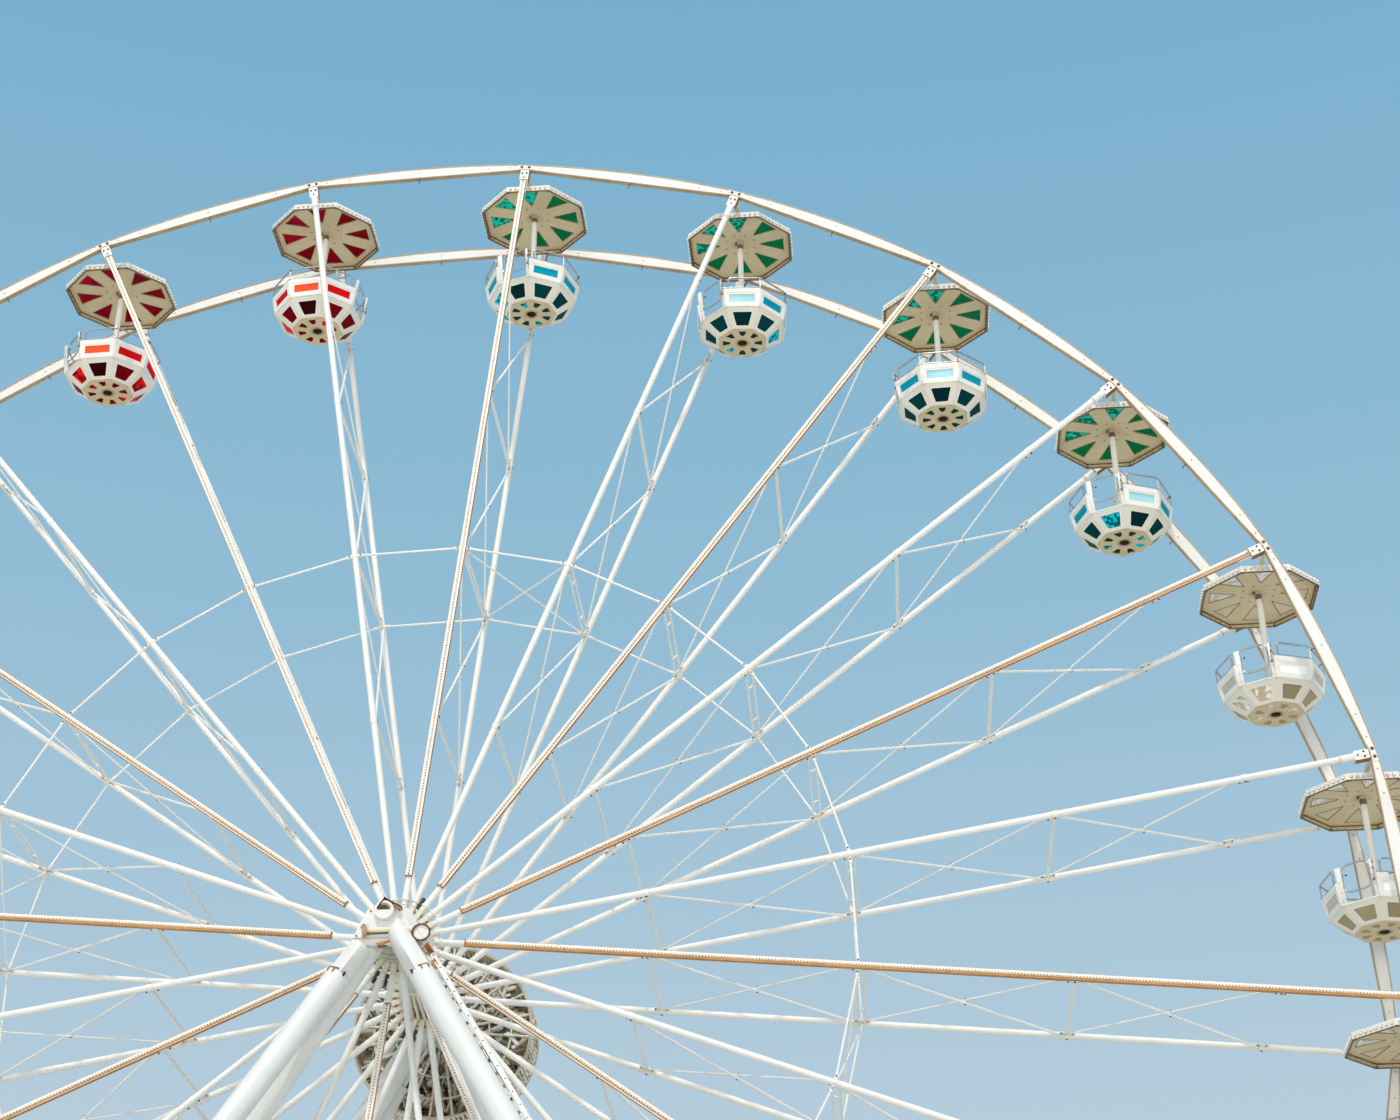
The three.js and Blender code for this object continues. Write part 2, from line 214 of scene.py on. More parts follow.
def sides_of(angle):
    """The level directions outward and along, for a side that faces an angle."""
    return Vector((math.cos(angle), math.sin(angle), 0)), Vector((-math.sin(angle), math.cos(angle), 0))


def square_to(way, along):
    """The part of a direction that is square to another one, at length 1."""
    return (way - along * way.dot(along)).normalized()


def half_spacing(radius):
    """Half the distance between the two chords of a truss."""
    share = (radius - flange_radius) / (axle_radius - flange_radius)
    return flange_y + share * (rim_y - flange_y)


def placed(origin, direction=(0, 0, 1)):
    """A matrix that takes +Z to a direction, at a place."""
    return at(origin) @ Vector(direction).to_track_quat("Z", "Y").to_matrix().to_4x4()


def axes(origin, x, y):
    """A matrix with given X and Y directions, at a place."""
    x = Vector(x).normalized()
    z = x.cross(Vector(y)).normalized()
    return at(origin) @ Matrix((x, z.cross(x), z)).transposed().to_4x4()


def normal(place):
    return place.to_3x3().col[2]


along_y = placed((0, 0, 0), (0, 1, 0))


def circle(radius, sides, height=0.0, start=0.0):
    turns = [start + math.tau * i / sides for i in range(sides)]
    return [Vector((radius * math.cos(a), radius * math.sin(a), height)) for a in turns]


def octagon_corners(radius, height):
    return circle(radius, 8, height, eighth / 2)


def trapezoid(low_half, low, high_half, high):
    """A four-sided outline from two half widths and their places."""
    return [(-low_half, low), (low_half, low), (high_half, high), (-high_half, high)]


def arc(start, corner, end, steps):
    """The points of a curve that rounds a corner."""
    shares = [step / steps for step in range(steps + 1)]
    return [start * (1 - t) ** 2 + corner * 2 * t * (1 - t) + end * t ** 2 for t in shares]


def rounded(corners, radius, steps=3):
    """A polygon's corners as short arcs, one list of points for each corner."""
    arcs = []
    for i, corner in enumerate(corners):
        here = Vector(corner)
        before = (Vector(corners[i - 1]) - here).normalized()
        after = (Vector(corners[(i + 1) % len(corners)]) - here).normalized()
        reach = radius / math.tan(before.angle(after) / 2)
        arcs.append(arc(here + before * reach, here, here + after * reach, steps))
    return arcs


def smooth(corners, radius, steps=3):
    """A polygon with rounded corners as one outline."""
    return [point for bend in rounded(corners, radius, steps) for point in bend]


def bent(points, radius, closed=False, steps=5):
    """A path with its corners rounded."""
    path = []
    last = len(points) - 1
    for i, point in enumerate(points):
        here = Vector(point)
        if not closed and i in (0, last):
            path.append(here)
            continue
        before = Vector(points[i - 1]) - here
        after = Vector(points[(i + 1) % len(points)]) - here
        reach = min(radius, before.length * 0.45, after.length * 0.45)
        path.extend(arc(here + before.normalized() * reach, here, here + after.normalized() * reach, steps))
    return path


class Shape:
    """Closed bodies gathered for one mesh, each face with the name of its material."""

    def __init__(self):
        self.points = []
        self.faces = []
        self.finishes = []

    def add(self, points, faces, finish, place=None):
        start = len(self.points)
        self.points.extend(place @ p for p in points) if place else self.points.extend(points)
        self.faces.extend(tuple(start + i for i in face) for face in faces)
        self.finishes.extend([finish] * len(faces))

    def loft(self, rings, finish, place=None, closed=False):
        """Rings of points joined in turn; the ends are capped, or joined to each other."""
        count = len(rings[0])
        faces = []
        for r in range(len(rings) if closed else len(rings) - 1):
            a = r * count
            b = (r + 1) % len(rings) * count
            faces.extend((a + i, a + (i + 1) % count, b + (i + 1) % count, b + i) for i in range(count))
        if not closed:
            faces.append(tuple(range(count)))
            faces.append(tuple(range((len(rings) - 1) * count, len(rings) * count)))
        self.add([p for ring in rings for p in ring], faces, finish, place)

    def bolt(self, centre, direction, radius, height, finish="dark_steel", sides=6):
        """A bolt head or, with more sides, a disc."""
        self.loft([circle(radius, sides), circle(radius, sides, height)], finish, placed(centre, direction))

    def bolts(self, place, spots, radius, height, finish, way=1):
        """Bolt heads at spots of a frame, toward its Z or, with way -1, away from it."""
        for spot in spots:
            self.bolt(place @ Vector(spot), normal(place) * way, radius, height, finish)

    def tube(self, start, end, radius, finish, sides=12):
        start, end = Vector(start), Vector(end)
        self.bolt(start, end - start, radius, (end - start).length, finish, sides)

    def pipe(self, path, radius, finish, sides=8, closed=False):
        path = [Vector(p) for p in path]
        count = len(path)
        side = None
        rings = []
        for i, point in enumerate(path):
            before = path[i - 1] if i or closed else point
            after = path[(i + 1) % count] if i < count - 1 or closed else point
            along = (after - before).normalized()
            side = square_to(side or along.orthogonal(), along)
            across = along.cross(side)
            rings.append([point + side * spot.x + across * spot.y for spot in circle(radius, sides)])
        self.loft(rings, finish, closed=closed)

    def prism(self, outline, low, high, finish, place=None):
        rings = [[Vector((x, y, z)) for x, y, *_ in outline] for z in (low, high)]
        self.loft(rings, finish, place)

    def block(self, low, high, finish, place=None, chamfer=0.0):
        (x0, x1), (y0, y1), (z0, z1) = [sorted(pair) for pair in zip(low, high)]
        if not chamfer:
            self.prism([(x0, y0), (x1, y0), (x1, y1), (x0, y1)], z0, z1, finish, place)
            return
        rings = []
        for inset, z in ((chamfer, z0), (0, z0 + chamfer), (0, z1 - chamfer), (chamfer, z1)):
            a, b, c, d = x0 + inset, x1 - inset, y0 + inset, y1 - inset
            corners = [(a + chamfer, c), (b - chamfer, c), (b, c + chamfer), (b, d - chamfer),
                       (b - chamfer, d), (a + chamfer, d), (a, d - chamfer), (a, c + chamfer)]
            rings.append([Vector((x, y, z)) for x, y in corners])
        self.loft(rings, finish, place)

    def spin(self, profile, finish, sides=24, place=None, closed=False, start=0.0):
        """A turned body about Z from (radius, height) pairs."""
        self.loft([circle(r, sides, z, start) for r, z in profile], finish, place, closed)

    def band(self, profile, finish):
        """A closed octagonal band with a flat side toward +X."""
        self.spin(profile, finish, 8, closed=True, start=eighth / 2)

    def ring(self, inner, outer, low, high, finish, place=None, sides=32):
        """A flat ring or a sleeve about Z."""
        self.spin([(inner, low), (outer, low), (outer, high), (inner, high)], finish, sides, place, True)

    def dome(self, centre, direction, radius, finish, sides=6, height=1.0):
        rings = [circle(radius * wide, sides, radius * high * height)
                 for wide, high in ((1, 0), (0.8, 0.6), (0.35, 0.94))]
        self.loft(rings, finish, placed(centre, direction))

    def panel(self, corners, hole, low, high, finish, place=None):
        """A plate with a hole; the hole has one arc of points for each corner of the plate."""
        outline = [(x, y) for x, y in corners] + [(p[0], p[1]) for bend in hole for p in bend]
        points = [Vector((x, y, z)) for z in (low, high) for x, y in outline]
        sides, total = len(corners), len(outline)
        starts = [sides + sum(len(bend) for bend in hole[:i]) for i in range(sides)]
        faces = []
        for base in (0, total):
            for i, bend in enumerate(hole):
                after = (i + 1) % sides
                first = base + starts[i]
                faces.extend((base + i, first + j, first + j + 1) for j in range(len(bend) - 1))
                faces.append((base + i, first + len(bend) - 1, base + starts[after], base + after))
        for loop in (range(sides), range(sides, total)):
            for a in loop:
                b = a + 1 if a + 1 in loop else loop[0]
                faces.append((a, b, b + total, a + total))
        self.add(points, faces, finish, place)

    def mesh(self, name, swap=None):
        """The mesh, with its normals outward; swap gives other finishes for some names."""
        data = bpy.data.meshes.new(name)
        data.from_pydata(self.points, [], self.faces)
        worn = [(swap or {}).get(finish, finish) for finish in self.finishes]
        names = list(dict.fromkeys(worn))
        data.polygons.foreach_set("material_index", [names.index(finish) for finish in worn])
        for finish in names:
            data.materials.append(finishes[finish])
        work = bmesh.new()
        work.from_mesh(data)
        bmesh.ops.recalc_face_normals(work, faces=work.faces)
        work.to_mesh(data)
        work.free()
        data.shade_smooth()
        data.set_sharp_from_angle(angle=math.radians(38))
        return data


def in_scene(name, data):
    made = bpy.data.objects.new(name, data)
    bpy.context.scene.collection.objects.link(made)
    return made


def piece(name, data, body, place=None, replaces=None):
    """An object of the wheel, riding on its body; it hides the imported part that it replaces, if any."""
    made = in_scene(name, data)
    if place:
        made.matrix_world = place
    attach(made, body)
    if replaces:
        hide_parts(replaces)


# Finishes

finishes = {}

# The colour sockets of a Mix node, by number
mix_share, mix_first, mix_second, mix_result = 0, 6, 7, 2


def feed(tree, socket, value):
    """Gives a socket another node's output or a value of its own."""
    if isinstance(value, bpy.types.NodeSocket):
        tree.links.new(value, socket)
    else:
        socket.default_value = (*value, 1.0) if socket.type == "RGBA" else value


def node(tree, kind, inputs, **settings):
    """A node with its settings, and its inputs by name or number."""
    made = tree.nodes.new(f"ShaderNode{kind}")
    for key, value in settings.items():
        setattr(made, key, value)
    for key, value in inputs.items():
        feed(tree, made.inputs[key], value)
    return made


class Nodes:
    """A short way to write a material's nodes; the material is kept under its name."""

    def __init__(self, name):
        finishes[name] = bpy.data.materials.new(name)
        finishes[name].use_nodes = True
        self.tree = finishes[name].node_tree
        self.shader = self.tree.nodes["Principled BSDF"]
        self.object_place = self.node("TexCoord", {}).outputs["Object"]
        chance = self.node("ObjectInfo", {}).outputs["Random"]
        shift = self.node("VectorMath", {"Vector": (31.0, 17.0, 23.0), "Scale": chance}, operation="SCALE")
        moved = self.node("VectorMath", {0: self.object_place, 1: shift.outputs[0]}, operation="ADD")
        self.place = moved.outputs[0]

    def node(self, kind, inputs, **settings):
        return node(self.tree, kind, inputs, **settings)

    def noise(self, scale, detail=3.0, roughness=0.55, stretch=None):
        source = self.place
        if stretch:
            source = self.node("Mapping", {"Vector": source, "Scale": stretch}).outputs[0]
        inputs = {"Vector": source, "Scale": scale, "Detail": detail, "Roughness": roughness}
        return self.node("TexNoise", inputs).outputs["Fac"]

    def cells(self, scale):
        return self.node("TexVoronoi", {"Vector": self.place, "Scale": scale}).outputs["Color"]

    def ramp(self, source, low, high, start=0.0, end=1.0):
        """Maps a value between two limits to the range from start to end, held at both ends."""
        inputs = {"Value": source, "From Min": low, "From Max": high, "To Min": start, "To Max": end}
        return self.node("MapRange", inputs, clamp=True).outputs["Result"]

    def mix(self, share, first, second):
        """Mixes two colours, each a tuple or an output, by a share."""
        inputs = {mix_share: share, mix_first: first, mix_second: second}
        return self.node("Mix", inputs, data_type="RGBA").outputs[mix_result]

    def bump(self, source, strength, distance):
        made = self.node("Bump", {"Height": source, "Strength": strength, "Distance": distance})
        self.set(Normal=made.outputs["Normal"])

    def set(self, **values):
        for key, value in values.items():
            feed(self.tree, self.shader.inputs[key.replace("_", " ")], value)


def paint(name, colour, shade, rust=0.3, speckle=0.66, gloss=0.45):
    """Weathered gloss paint: soft tone changes, fine grime and a few rust specks."""
    n = Nodes(name)
    tone = n.mix(n.ramp(n.noise(1.3), 0.35, 0.7), colour, shade)
    grime = n.ramp(n.noise(26, detail=5, roughness=0.65), 0.52, 0.78, 0.0, 0.4)
    dirty = n.mix(grime, tone, tuple(0.74 * c for c in shade))
    specks = n.ramp(n.noise(9, detail=6, roughness=0.7), speckle, speckle + 0.06, 0.0, rust)
    n.set(Base_Color=n.mix(specks, dirty, (0.3, 0.13, 0.05)))
    n.set(Roughness=n.ramp(n.noise(7), 0.3, 0.7, gloss - 0.1, gloss + 0.14))
    n.bump(n.noise(60, detail=4), 0.12, 0.004)


def bare_steel(name, colour, rusty, roughness=0.5, metallic=0.6, scale=14):
    """Steel with rust bloom over part of it."""
    n = Nodes(name)
    bloom = n.ramp(n.noise(scale, detail=6, roughness=0.7), 0.42, 0.62)
    n.set(Base_Color=n.mix(bloom, colour, rusty), Metallic=metallic)
    n.set(Roughness=n.ramp(n.noise(scale * 2), 0.3, 0.7, roughness - 0.12, roughness + 0.2))
    n.bump(n.noise(scale * 5, detail=5), 0.3, 0.003)


def pane(name, deep, bright=None, scale=9.0):
    """Tinted acrylic: an even deep colour or, with a bright one, facets of painted glints."""
    n = Nodes(name)
    streak = n.ramp(n.noise(2.2, detail=2, stretch=(1, 1, 0.4)), 0.3, 0.7, 0.0, 0.5)
    tint = n.mix(streak, deep, tuple(min(1.0, 1.35 * c + 0.004) for c in deep))
    if bright:
        # Cells of the bright colour: painted glints
        tint = n.mix(n.ramp(n.cells(scale), 0.42, 0.5), tint, bright)
    n.set(Base_Color=tint, IOR=1.05)
    n.set(Roughness=n.ramp(n.noise(6.0), 0.3, 0.7, 0.12, 0.22))
    n.bump(n.noise(5.0, detail=2), 0.2, 0.008)


def dish_finish():
    """The tan underside of the tub, the tan partly painted warm shade, with rust round its middle."""
    n = Nodes("dish")
    level = n.node("VectorMath", {0: n.object_place, 1: (1, 1, 0)}, operation="MULTIPLY")
    radius = n.node("VectorMath", {0: level.outputs[0]}, operation="LENGTH").outputs["Value"]
    wobble = n.node("Math", {0: n.noise(12), 1: 0.08, 2: radius}, operation="MULTIPLY_ADD")
    tan = n.mix(n.ramp(n.noise(6), 0.35, 0.7), (0.66, 0.52, 0.31), (0.6, 0.45, 0.25))
    edged = n.mix(n.ramp(radius, 0.438, 0.47), tan, (0.57, 0.42, 0.23))
    pale = n.mix(n.ramp(radius, 0.489, 0.492), edged, (0.8, 0.74, 0.64))
    n.set(Base_Color=n.mix(n.ramp(wobble.outputs[0], 0.12, 0.2, 0.9, 0.0), pale, (0.24, 0.1, 0.035)))
    n.set(Roughness=0.5)
    n.bump(n.noise(50), 0.15, 0.003)


def bulb_finish(name, colour):
    """A glossy, slightly translucent lamp cap."""
    n = Nodes(name)
    n.set(Base_Color=n.mix(n.ramp(n.noise(40), 0.45, 0.7), colour, tuple(0.72 * c for c in colour)))
    n.set(Roughness=0.28, Coat_Weight=0.5, Coat_Roughness=0.1, Subsurface_Weight=0.15, Subsurface_Scale=0.01)
    n.bump(n.noise(120), 0.1, 0.001)


def dark_finish(name, colour, worn, shine):
    """Dull black rubber or grease."""
    n = Nodes(name)
    n.set(Base_Color=n.mix(n.noise(50), colour, worn))
    n.set(Roughness=n.ramp(n.noise(80), 0.3, 0.7, 0.5, 0.75), Specular_IOR_Level=shine)
    n.bump(n.noise(140), 0.2, 0.001)


def make_finishes():
    paint("white", (0.82, 0.79, 0.745), (0.76, 0.725, 0.67), speckle=0.68)
    paint("rim_white", (0.77, 0.745, 0.71), (0.72, 0.69, 0.64), rust=0.45, speckle=0.7)
    paint("leg_white", (0.75, 0.735, 0.71), (0.7, 0.685, 0.655), rust=0.2, speckle=0.74, gloss=0.38)
    paint("beige", (0.5, 0.37, 0.22), (0.38, 0.26, 0.14), rust=0.5, speckle=0.56)
    paint("tan", (0.64, 0.53, 0.37), (0.5, 0.39, 0.25), rust=0.5, speckle=0.6)
    paint("cream", (0.77, 0.69, 0.55), (0.69, 0.6, 0.45))
    # Ceiling: a beige that is partly painted warm shade, for the canopy's underside and the fascia's inner
    # face
    paint("ceiling", (0.74, 0.58, 0.35), (0.65, 0.49, 0.27), rust=0.3, speckle=0.7, gloss=0.55)
    paint("grey_green", (0.58, 0.6, 0.48), (0.44, 0.44, 0.33), rust=0.5, speckle=0.58)
    paint("base_white", (0.8, 0.79, 0.76), (0.7, 0.68, 0.63), rust=0.6, speckle=0.62)
    # Lower cream: partly painted warm shade for the tub's downward-facing panels
    paint("lower_cream", (0.8, 0.74, 0.64), (0.73, 0.66, 0.54), rust=0.2, speckle=0.72)
    # The lamp strips' orange band and orange side walls are painted shadow and painted shade
    paint("strip_shadow_orange", (0.56, 0.28, 0.085), (0.4, 0.185, 0.05), rust=0.6, speckle=0.6, gloss=0.6)
    paint("strip_side_shade_orange", (0.5, 0.22, 0.065), (0.38, 0.16, 0.045), rust=0.6, speckle=0.6, gloss=0.6)
    paint("lip_brown", (0.2, 0.14, 0.07), (0.13, 0.085, 0.045), rust=0.4, speckle=0.55, gloss=0.6)
    paint("seal", (0.2, 0.15, 0.085), (0.13, 0.1, 0.06), rust=0.3, gloss=0.6)
    paint("slat", (0.24, 0.18, 0.11), (0.12, 0.08, 0.045), rust=0.8, speckle=0.5, gloss=0.6)
    bare_steel("dark_steel", (0.035, 0.028, 0.026), (0.1, 0.045, 0.02))
    bare_steel("rust", (0.24, 0.12, 0.055), (0.38, 0.19, 0.08), roughness=0.75, metallic=0.1)
    bare_steel("dark_rust", (0.075, 0.028, 0.016), (0.22, 0.08, 0.03), roughness=0.75, metallic=0.1)
    bare_steel("orange_rust", (0.45, 0.2, 0.06), (0.62, 0.33, 0.12), roughness=0.75, metallic=0.0)
    bare_steel("shaft_steel", (0.3, 0.27, 0.22), (0.32, 0.16, 0.07), roughness=0.45, metallic=0.8, scale=8)
    bare_steel("chrome", (0.5, 0.51, 0.53), (0.4, 0.38, 0.36), roughness=0.26, metallic=0.8, scale=30)
    dish_finish()
    bulb_finish("bulb", (0.92, 0.88, 0.8))
    bulb_finish("strip_cap", (0.95, 0.9, 0.79))
    dark_finish("rubber", (0.018, 0.018, 0.02), (0.05, 0.048, 0.045), 0.5)
    dark_finish("grease", (0.006, 0.004, 0.003), (0.03, 0.012, 0.005), 0.1)
    # Panes: the front ones are lighter with painted light and the front lower ones darker with painted shade;
    # the bright ones carry painted glints and lit patches
    pane("roof_red", (0.23, 0.001, 0.008))
    pane("roof_red_bright", (0.3, 0.002, 0.012), (0.42, 0.004, 0.02))
    pane("roof_green", (0.0005, 0.165, 0.05))
    pane("roof_green_bright", (0.0005, 0.17, 0.09), (0.01, 0.66, 0.48), scale=13)
    pane("roof_clear", (0.66, 0.53, 0.38))
    pane("roof_clear_bright", (0.68, 0.57, 0.43), (0.92, 0.86, 0.78))
    pane("front_red", (0.95, 0.085, 0.028))
    pane("side_red", (0.62, 0.004, 0.01))
    pane("lower_red", (0.15, 0.001, 0.004))
    pane("front_lower_red", (0.03, 0.001, 0.002))
    pane("front_lower_blue", (0.0008, 0.022, 0.024))
    pane("front_lower_clear", (0.3, 0.24, 0.14))
    pane("lower_red_bright", (0.24, 0.003, 0.007), (0.8, 0.012, 0.012), scale=7)
    pane("front_blue", (0.33, 0.6, 0.65))
    pane("side_blue", (0.002, 0.28, 0.38))
    pane("lower_blue", (0.001, 0.04, 0.042))
    pane("lower_blue_bright", (0.001, 0.1, 0.12), (0.004, 0.55, 0.66), scale=17)
    pane("front_clear", (0.9, 0.88, 0.84))
    pane("side_clear", (0.5, 0.46, 0.4))
    pane("lower_clear", (0.36, 0.29, 0.17))
    pane("lower_clear_bright", (0.55, 0.46, 0.3), (0.9, 0.86, 0.78))


# Rims

def rim_point(k, share, inset=0.0, outer=True):
    """A point on a rim's edge, seen from the front, with its distance from the hub cut by inset."""
    inner = axle_radius - rim_depth / 2
    point = polar(inner, spoke_angle(k)).lerp(polar(inner, spoke_angle(k) + bay), share)
    depth = rim_depth + (rim_mid_depth - rim_depth) * (1 - (2 * share - 1) ** 2) if outer else 0.0
    return point * ((point.length + depth - inset) / point.length)


def rim_band(shape, inner, outer, low, high, finish):
    """A closed band round the wheel between two loops of points."""
    rings = [[Vector((p.x, y, p.z)) for p, y in ((a, low), (b, low), (b, high), (a, high))]
             for a, b in zip(inner, outer)]
    shape.loft(rings, finish, closed=True)


def rim(side):
    """A rim with its straight inner edge, arched outer edge, lips, bolts, splice plates and clips."""
    shape = Shape()
    steps = [(-k, i / rim_steps) for k in range(cabin_count) for i in range(rim_steps)]
    inner, inner_lip, outer_lip, outer = [
        [rim_point(k, share, inset, is_outer) for k, share in steps]
        for inset, is_outer in ((0.0, False), (-lip, False), (lip, True), (0.0, True))]
    low = side * rim_y - rim_width / 2
    high = low + rim_width
    rim_band(shape, inner_lip, outer_lip, low + lip_proud, high - lip_proud, "rim_white")
    # The beige edge bands are partly painted shade on the rim's edges
    rim_band(shape, inner, inner_lip, low, high, "beige")
    rim_band(shape, outer_lip, outer, low, high, "beige")
    for k in range(cabin_count):
        for face in (-1, 1):
            y = side * rim_y + face * (rim_width / 2 - lip_proud)
            for share in (0.07, 0.175, 0.5, 0.825, 0.93):
                middle = (rim_point(k, share, outer=False) + rim_point(k, share)) / 2
                shape.bolt((middle.x, y, middle.z), (0, face, 0), 0.011, 0.01, "rust")
            rim_joint(shape, k, y, face)
        rim_clip(shape, k, side)
    return shape


def rim_joint(shape, k, y, face):
    """The splice plate where two bays meet, with two bolts and rust under them."""
    out = polar(1, spoke_angle(k))
    place = axes(polar(axle_radius, spoke_angle(k), y), (-out.z, 0, out.x), out)
    thick = face * 0.009
    shape.prism(smooth(trapezoid(0.16, -0.052, 0.16, 0.05), 0.02), 0.0, thick, "rim_white", place)
    for x in (-0.075, 0.075):
        centre = place @ Vector((x, 0.0, thick))
        shape.bolt(centre, (0, face, 0), 0.022, 0.014, "dark_rust")
        shape.bolt(centre, (0, face, 0), 0.033, 0.004, "rust", 12)


def rim_clip(shape, k, side):
    """A small hook clip under the middle of a bay."""
    point = rim_point(k, 0.5, outer=False)
    inward = -point.normalized()
    base = Vector((point.x, side * rim_y, point.z))
    hook = ((0, 0), (0.05, 0), (0.08, 0.03), (0.05, 0.05))
    path = [base + inward * down + Vector((0, back, 0)) for down, back in hook]
    shape.pipe(bent(path, 0.02), 0.007, "dark_steel", 6)


# Spokes, in the truss's own frame: X outward, Y across the wheel, Z round it

def chord_point(radius, side, z=0.0, out=0.0):
    return Vector((radius, side * (half_spacing(radius) + out), z))


def truss():
    """One spoke: its two chords, the bracing between them, the brackets and the cabin's axle."""
    shape = Shape()
    end = axle_radius - rim_depth / 2 - 0.02
    for side in (-1, 1):
        shape.tube(chord_point(flange_radius + 0.02, side), chord_point(end, side), chord_radius, "white", 20)
        chord_ends(shape, side, end)
        for station in stations:
            station_node(shape, side, station)
        truss_end(shape, side)
    rungs(shape)
    for first, second in zip(stations, stations[1:]):
        for side, radius in ((-1, diagonal_radius), (1, thin_diagonal_radius)):
            start = chord_point(first, side, side * 0.026)
            end = chord_point(second, -side, side * 0.026)
            shape.tube(start, end, radius, "white", 10)
            shape.bolt(start.lerp(end, 0.5) + raised(side * radius), (0, 0, side), 0.015, 0.01)
    tie_rods(shape)
    axle(shape)
    return shape


def chord_ends(shape, side, end):
    """The fork at the hub flange, and the thicker sleeve before the rim."""
    root = chord_point(flange_radius, side)
    shape.block((-0.2, -0.042, -0.05), (0.1, 0.042, 0.05), "cream", at(root), 0.012)
    shape.bolt(root + Vector((0.1, 0, 0)), (1, 0, 0), 0.075, 0.03, "white", 20)
    for z in (-1, 1):
        shape.bolt(root + Vector((-0.06, 0, z * 0.05)), (0, 0, z), 0.022, 0.016, "rust")
    sleeve = end - sleeve_length
    start = chord_point(sleeve, side)
    place = placed(start, chord_point(end, side) - start)
    profile = [(0.062, 0.0), (0.074, 0.012), (0.074, 0.045), (0.066, 0.055), (0.066, sleeve_length - 0.02)]
    shape.spin(profile, "white", 20, place)
    shape.spin([(0.076, 0.02), (0.076, 0.032)], "beige", 20, place)
    lug = at(chord_point(sleeve + 0.03, side, 0.072))
    shape.block((-0.02, -0.01, 0.0), (0.02, 0.01, 0.018), "rust", lug, 0.004)


def station_node(shape, side, station):
    """The gusset and bolts where the bracing meets a chord."""
    centre = chord_point(station, side)
    place = at(centre)
    reach = 0.1 if station == stations[-1] else 0.13
    shape.block((-reach, -side * 0.03, -0.01), (reach, -side * 0.17, 0.01), "white", place, 0.004)
    shape.spin([(0.06, -0.05), (0.064, -0.045), (0.064, 0.045), (0.06, 0.05)], "white", 20,
               placed(centre, (1, 0, 0)))
    finish = "dark_rust" if side < 0 else "rust"
    for x in (-reach + 0.03, reach - 0.03):
        for z in (-1, 1):
            shape.bolt(centre + Vector((x, -side * 0.13, z * 0.01)), (0, 0, z), 0.016, 0.014, finish)
    shape.block((-0.022, -0.016, -0.074), (0.022, 0.016, -0.05), finish, place, 0.004)


def rungs(shape):
    """A rung at each station but the last; at the second it is a pair of thin ones with two clips."""
    for station in stations[:-1]:
        reach = half_spacing(station) - chord_radius * 0.6
        if station != stations[1]:
            shape.tube((station, -reach, 0), (station, reach, 0), rung_radius, "white", 12)
            continue
        for x in (station - 0.07, station + 0.07):
            shape.tube((x, -reach, 0), (x, reach, 0), 0.02, "white", 10)
        for y in (-0.62, 0.62):
            shape.block((-0.085, -0.02, -0.012), (0.085, 0.02, 0.012), "white", at((station, y, 0)), 0.004)


def truss_end(shape, side):
    """The bracket that joins a chord to the rim and holds the cabin's axle."""
    inside = rim_y - rim_width / 2 - 0.0003
    near, far = side * (inside - 0.04), side * (rim_y + 0.053)
    gap = side * 0.004
    x0, x1 = axle_radius - bracket_length, axle_radius - 0.075
    half = bracket_width / 2
    flat = Matrix(((1, 0, 0, 0), (0, 0, 1, 0), (0, 1, 0, 0), (0, 0, 0, 1)))
    top = axle_radius + 0.062
    for end, end_half, low, high in ((x1, half, near, far), (top, half * 0.8, near + gap, side * inside)):
        corners = [(x0, -half), (end, -end_half), (end, end_half), (x0, half)]
        shape.prism(smooth(corners, 0.03), low, high, "white", flat)
    for x, z in ((0.06, 0.0), (0.17, 0.045), (0.17, -0.045)):
        shape.bolt((x0 + x, far, z), (0, side, 0), 0.019, 0.014)
    for inset, count, low, high, finish in ((0.01, 1, -half - 0.006, -half + 0.002, "rust"),
                                            (0.03, 5, half - 0.002, half + 0.004, "beige")):
        start, end = (x0 + inset, near + count * gap, low), (x1 - inset, far - count * gap, high)
        shape.block(start, end, finish, None, 0.002)


def tie_rods(shape):
    """The rods to the next truss, in the planes of the front and rear chords."""
    for side in (-1, 1):
        start = chord_point(stations[1], side)
        far = Matrix.Rotation(bay, 4, "Y") @ start
        along = (far - start).normalized()
        shape.tube(start + along * 0.05, far - along * 0.05, tie_radius, "white", 10)
        for centre, way in ((start, along), (far, -along)):
            grip = centre + way * 0.055
            shape.tube(grip, grip + way * 0.11, 0.03, "white", 12)
            shape.bolt(grip + way * 0.05 + Vector((0, side * 0.028, 0)), (0, side, 0), 0.014, 0.012)


def axle(shape):
    """The cabin's cross axle, with collars beside the sleeve and at the brackets."""
    reach = rim_y - rim_width / 2 - 0.02
    x = axle_radius
    shape.tube((x, -reach, 0), (x, reach, 0), cabin_axle_radius, "cream", 20)
    for y in (-reach + 0.02, -0.2, 0.16, reach - 0.06):
        profile = [(0.054, 0.0), (0.068, 0.006), (0.068, 0.034), (0.054, 0.04)]
        shape.spin(profile, "white", 20, placed((x, y, 0), (0, 1, 0)))


def brace():
    """Crossed rods between the front and rear chords of two neighbouring trusses."""
    shape = Shape()
    for side in (-1, 1):
        lift = Vector((side * 0.02, 0, 0))
        start = chord_point(stations[1], side) + lift
        end = Matrix.Rotation(bay, 4, "Y") @ chord_point(stations[1], -side) + lift
        along = (end - start).normalized()
        shape.tube(start + along * 0.05, end - along * 0.05, 0.017, "white", 10)
        for centre, way in ((start, along), (end, -along)):
            shape.tube(centre + way * 0.06, centre + way * 0.18, 0.027, "white", 10)
    return shape


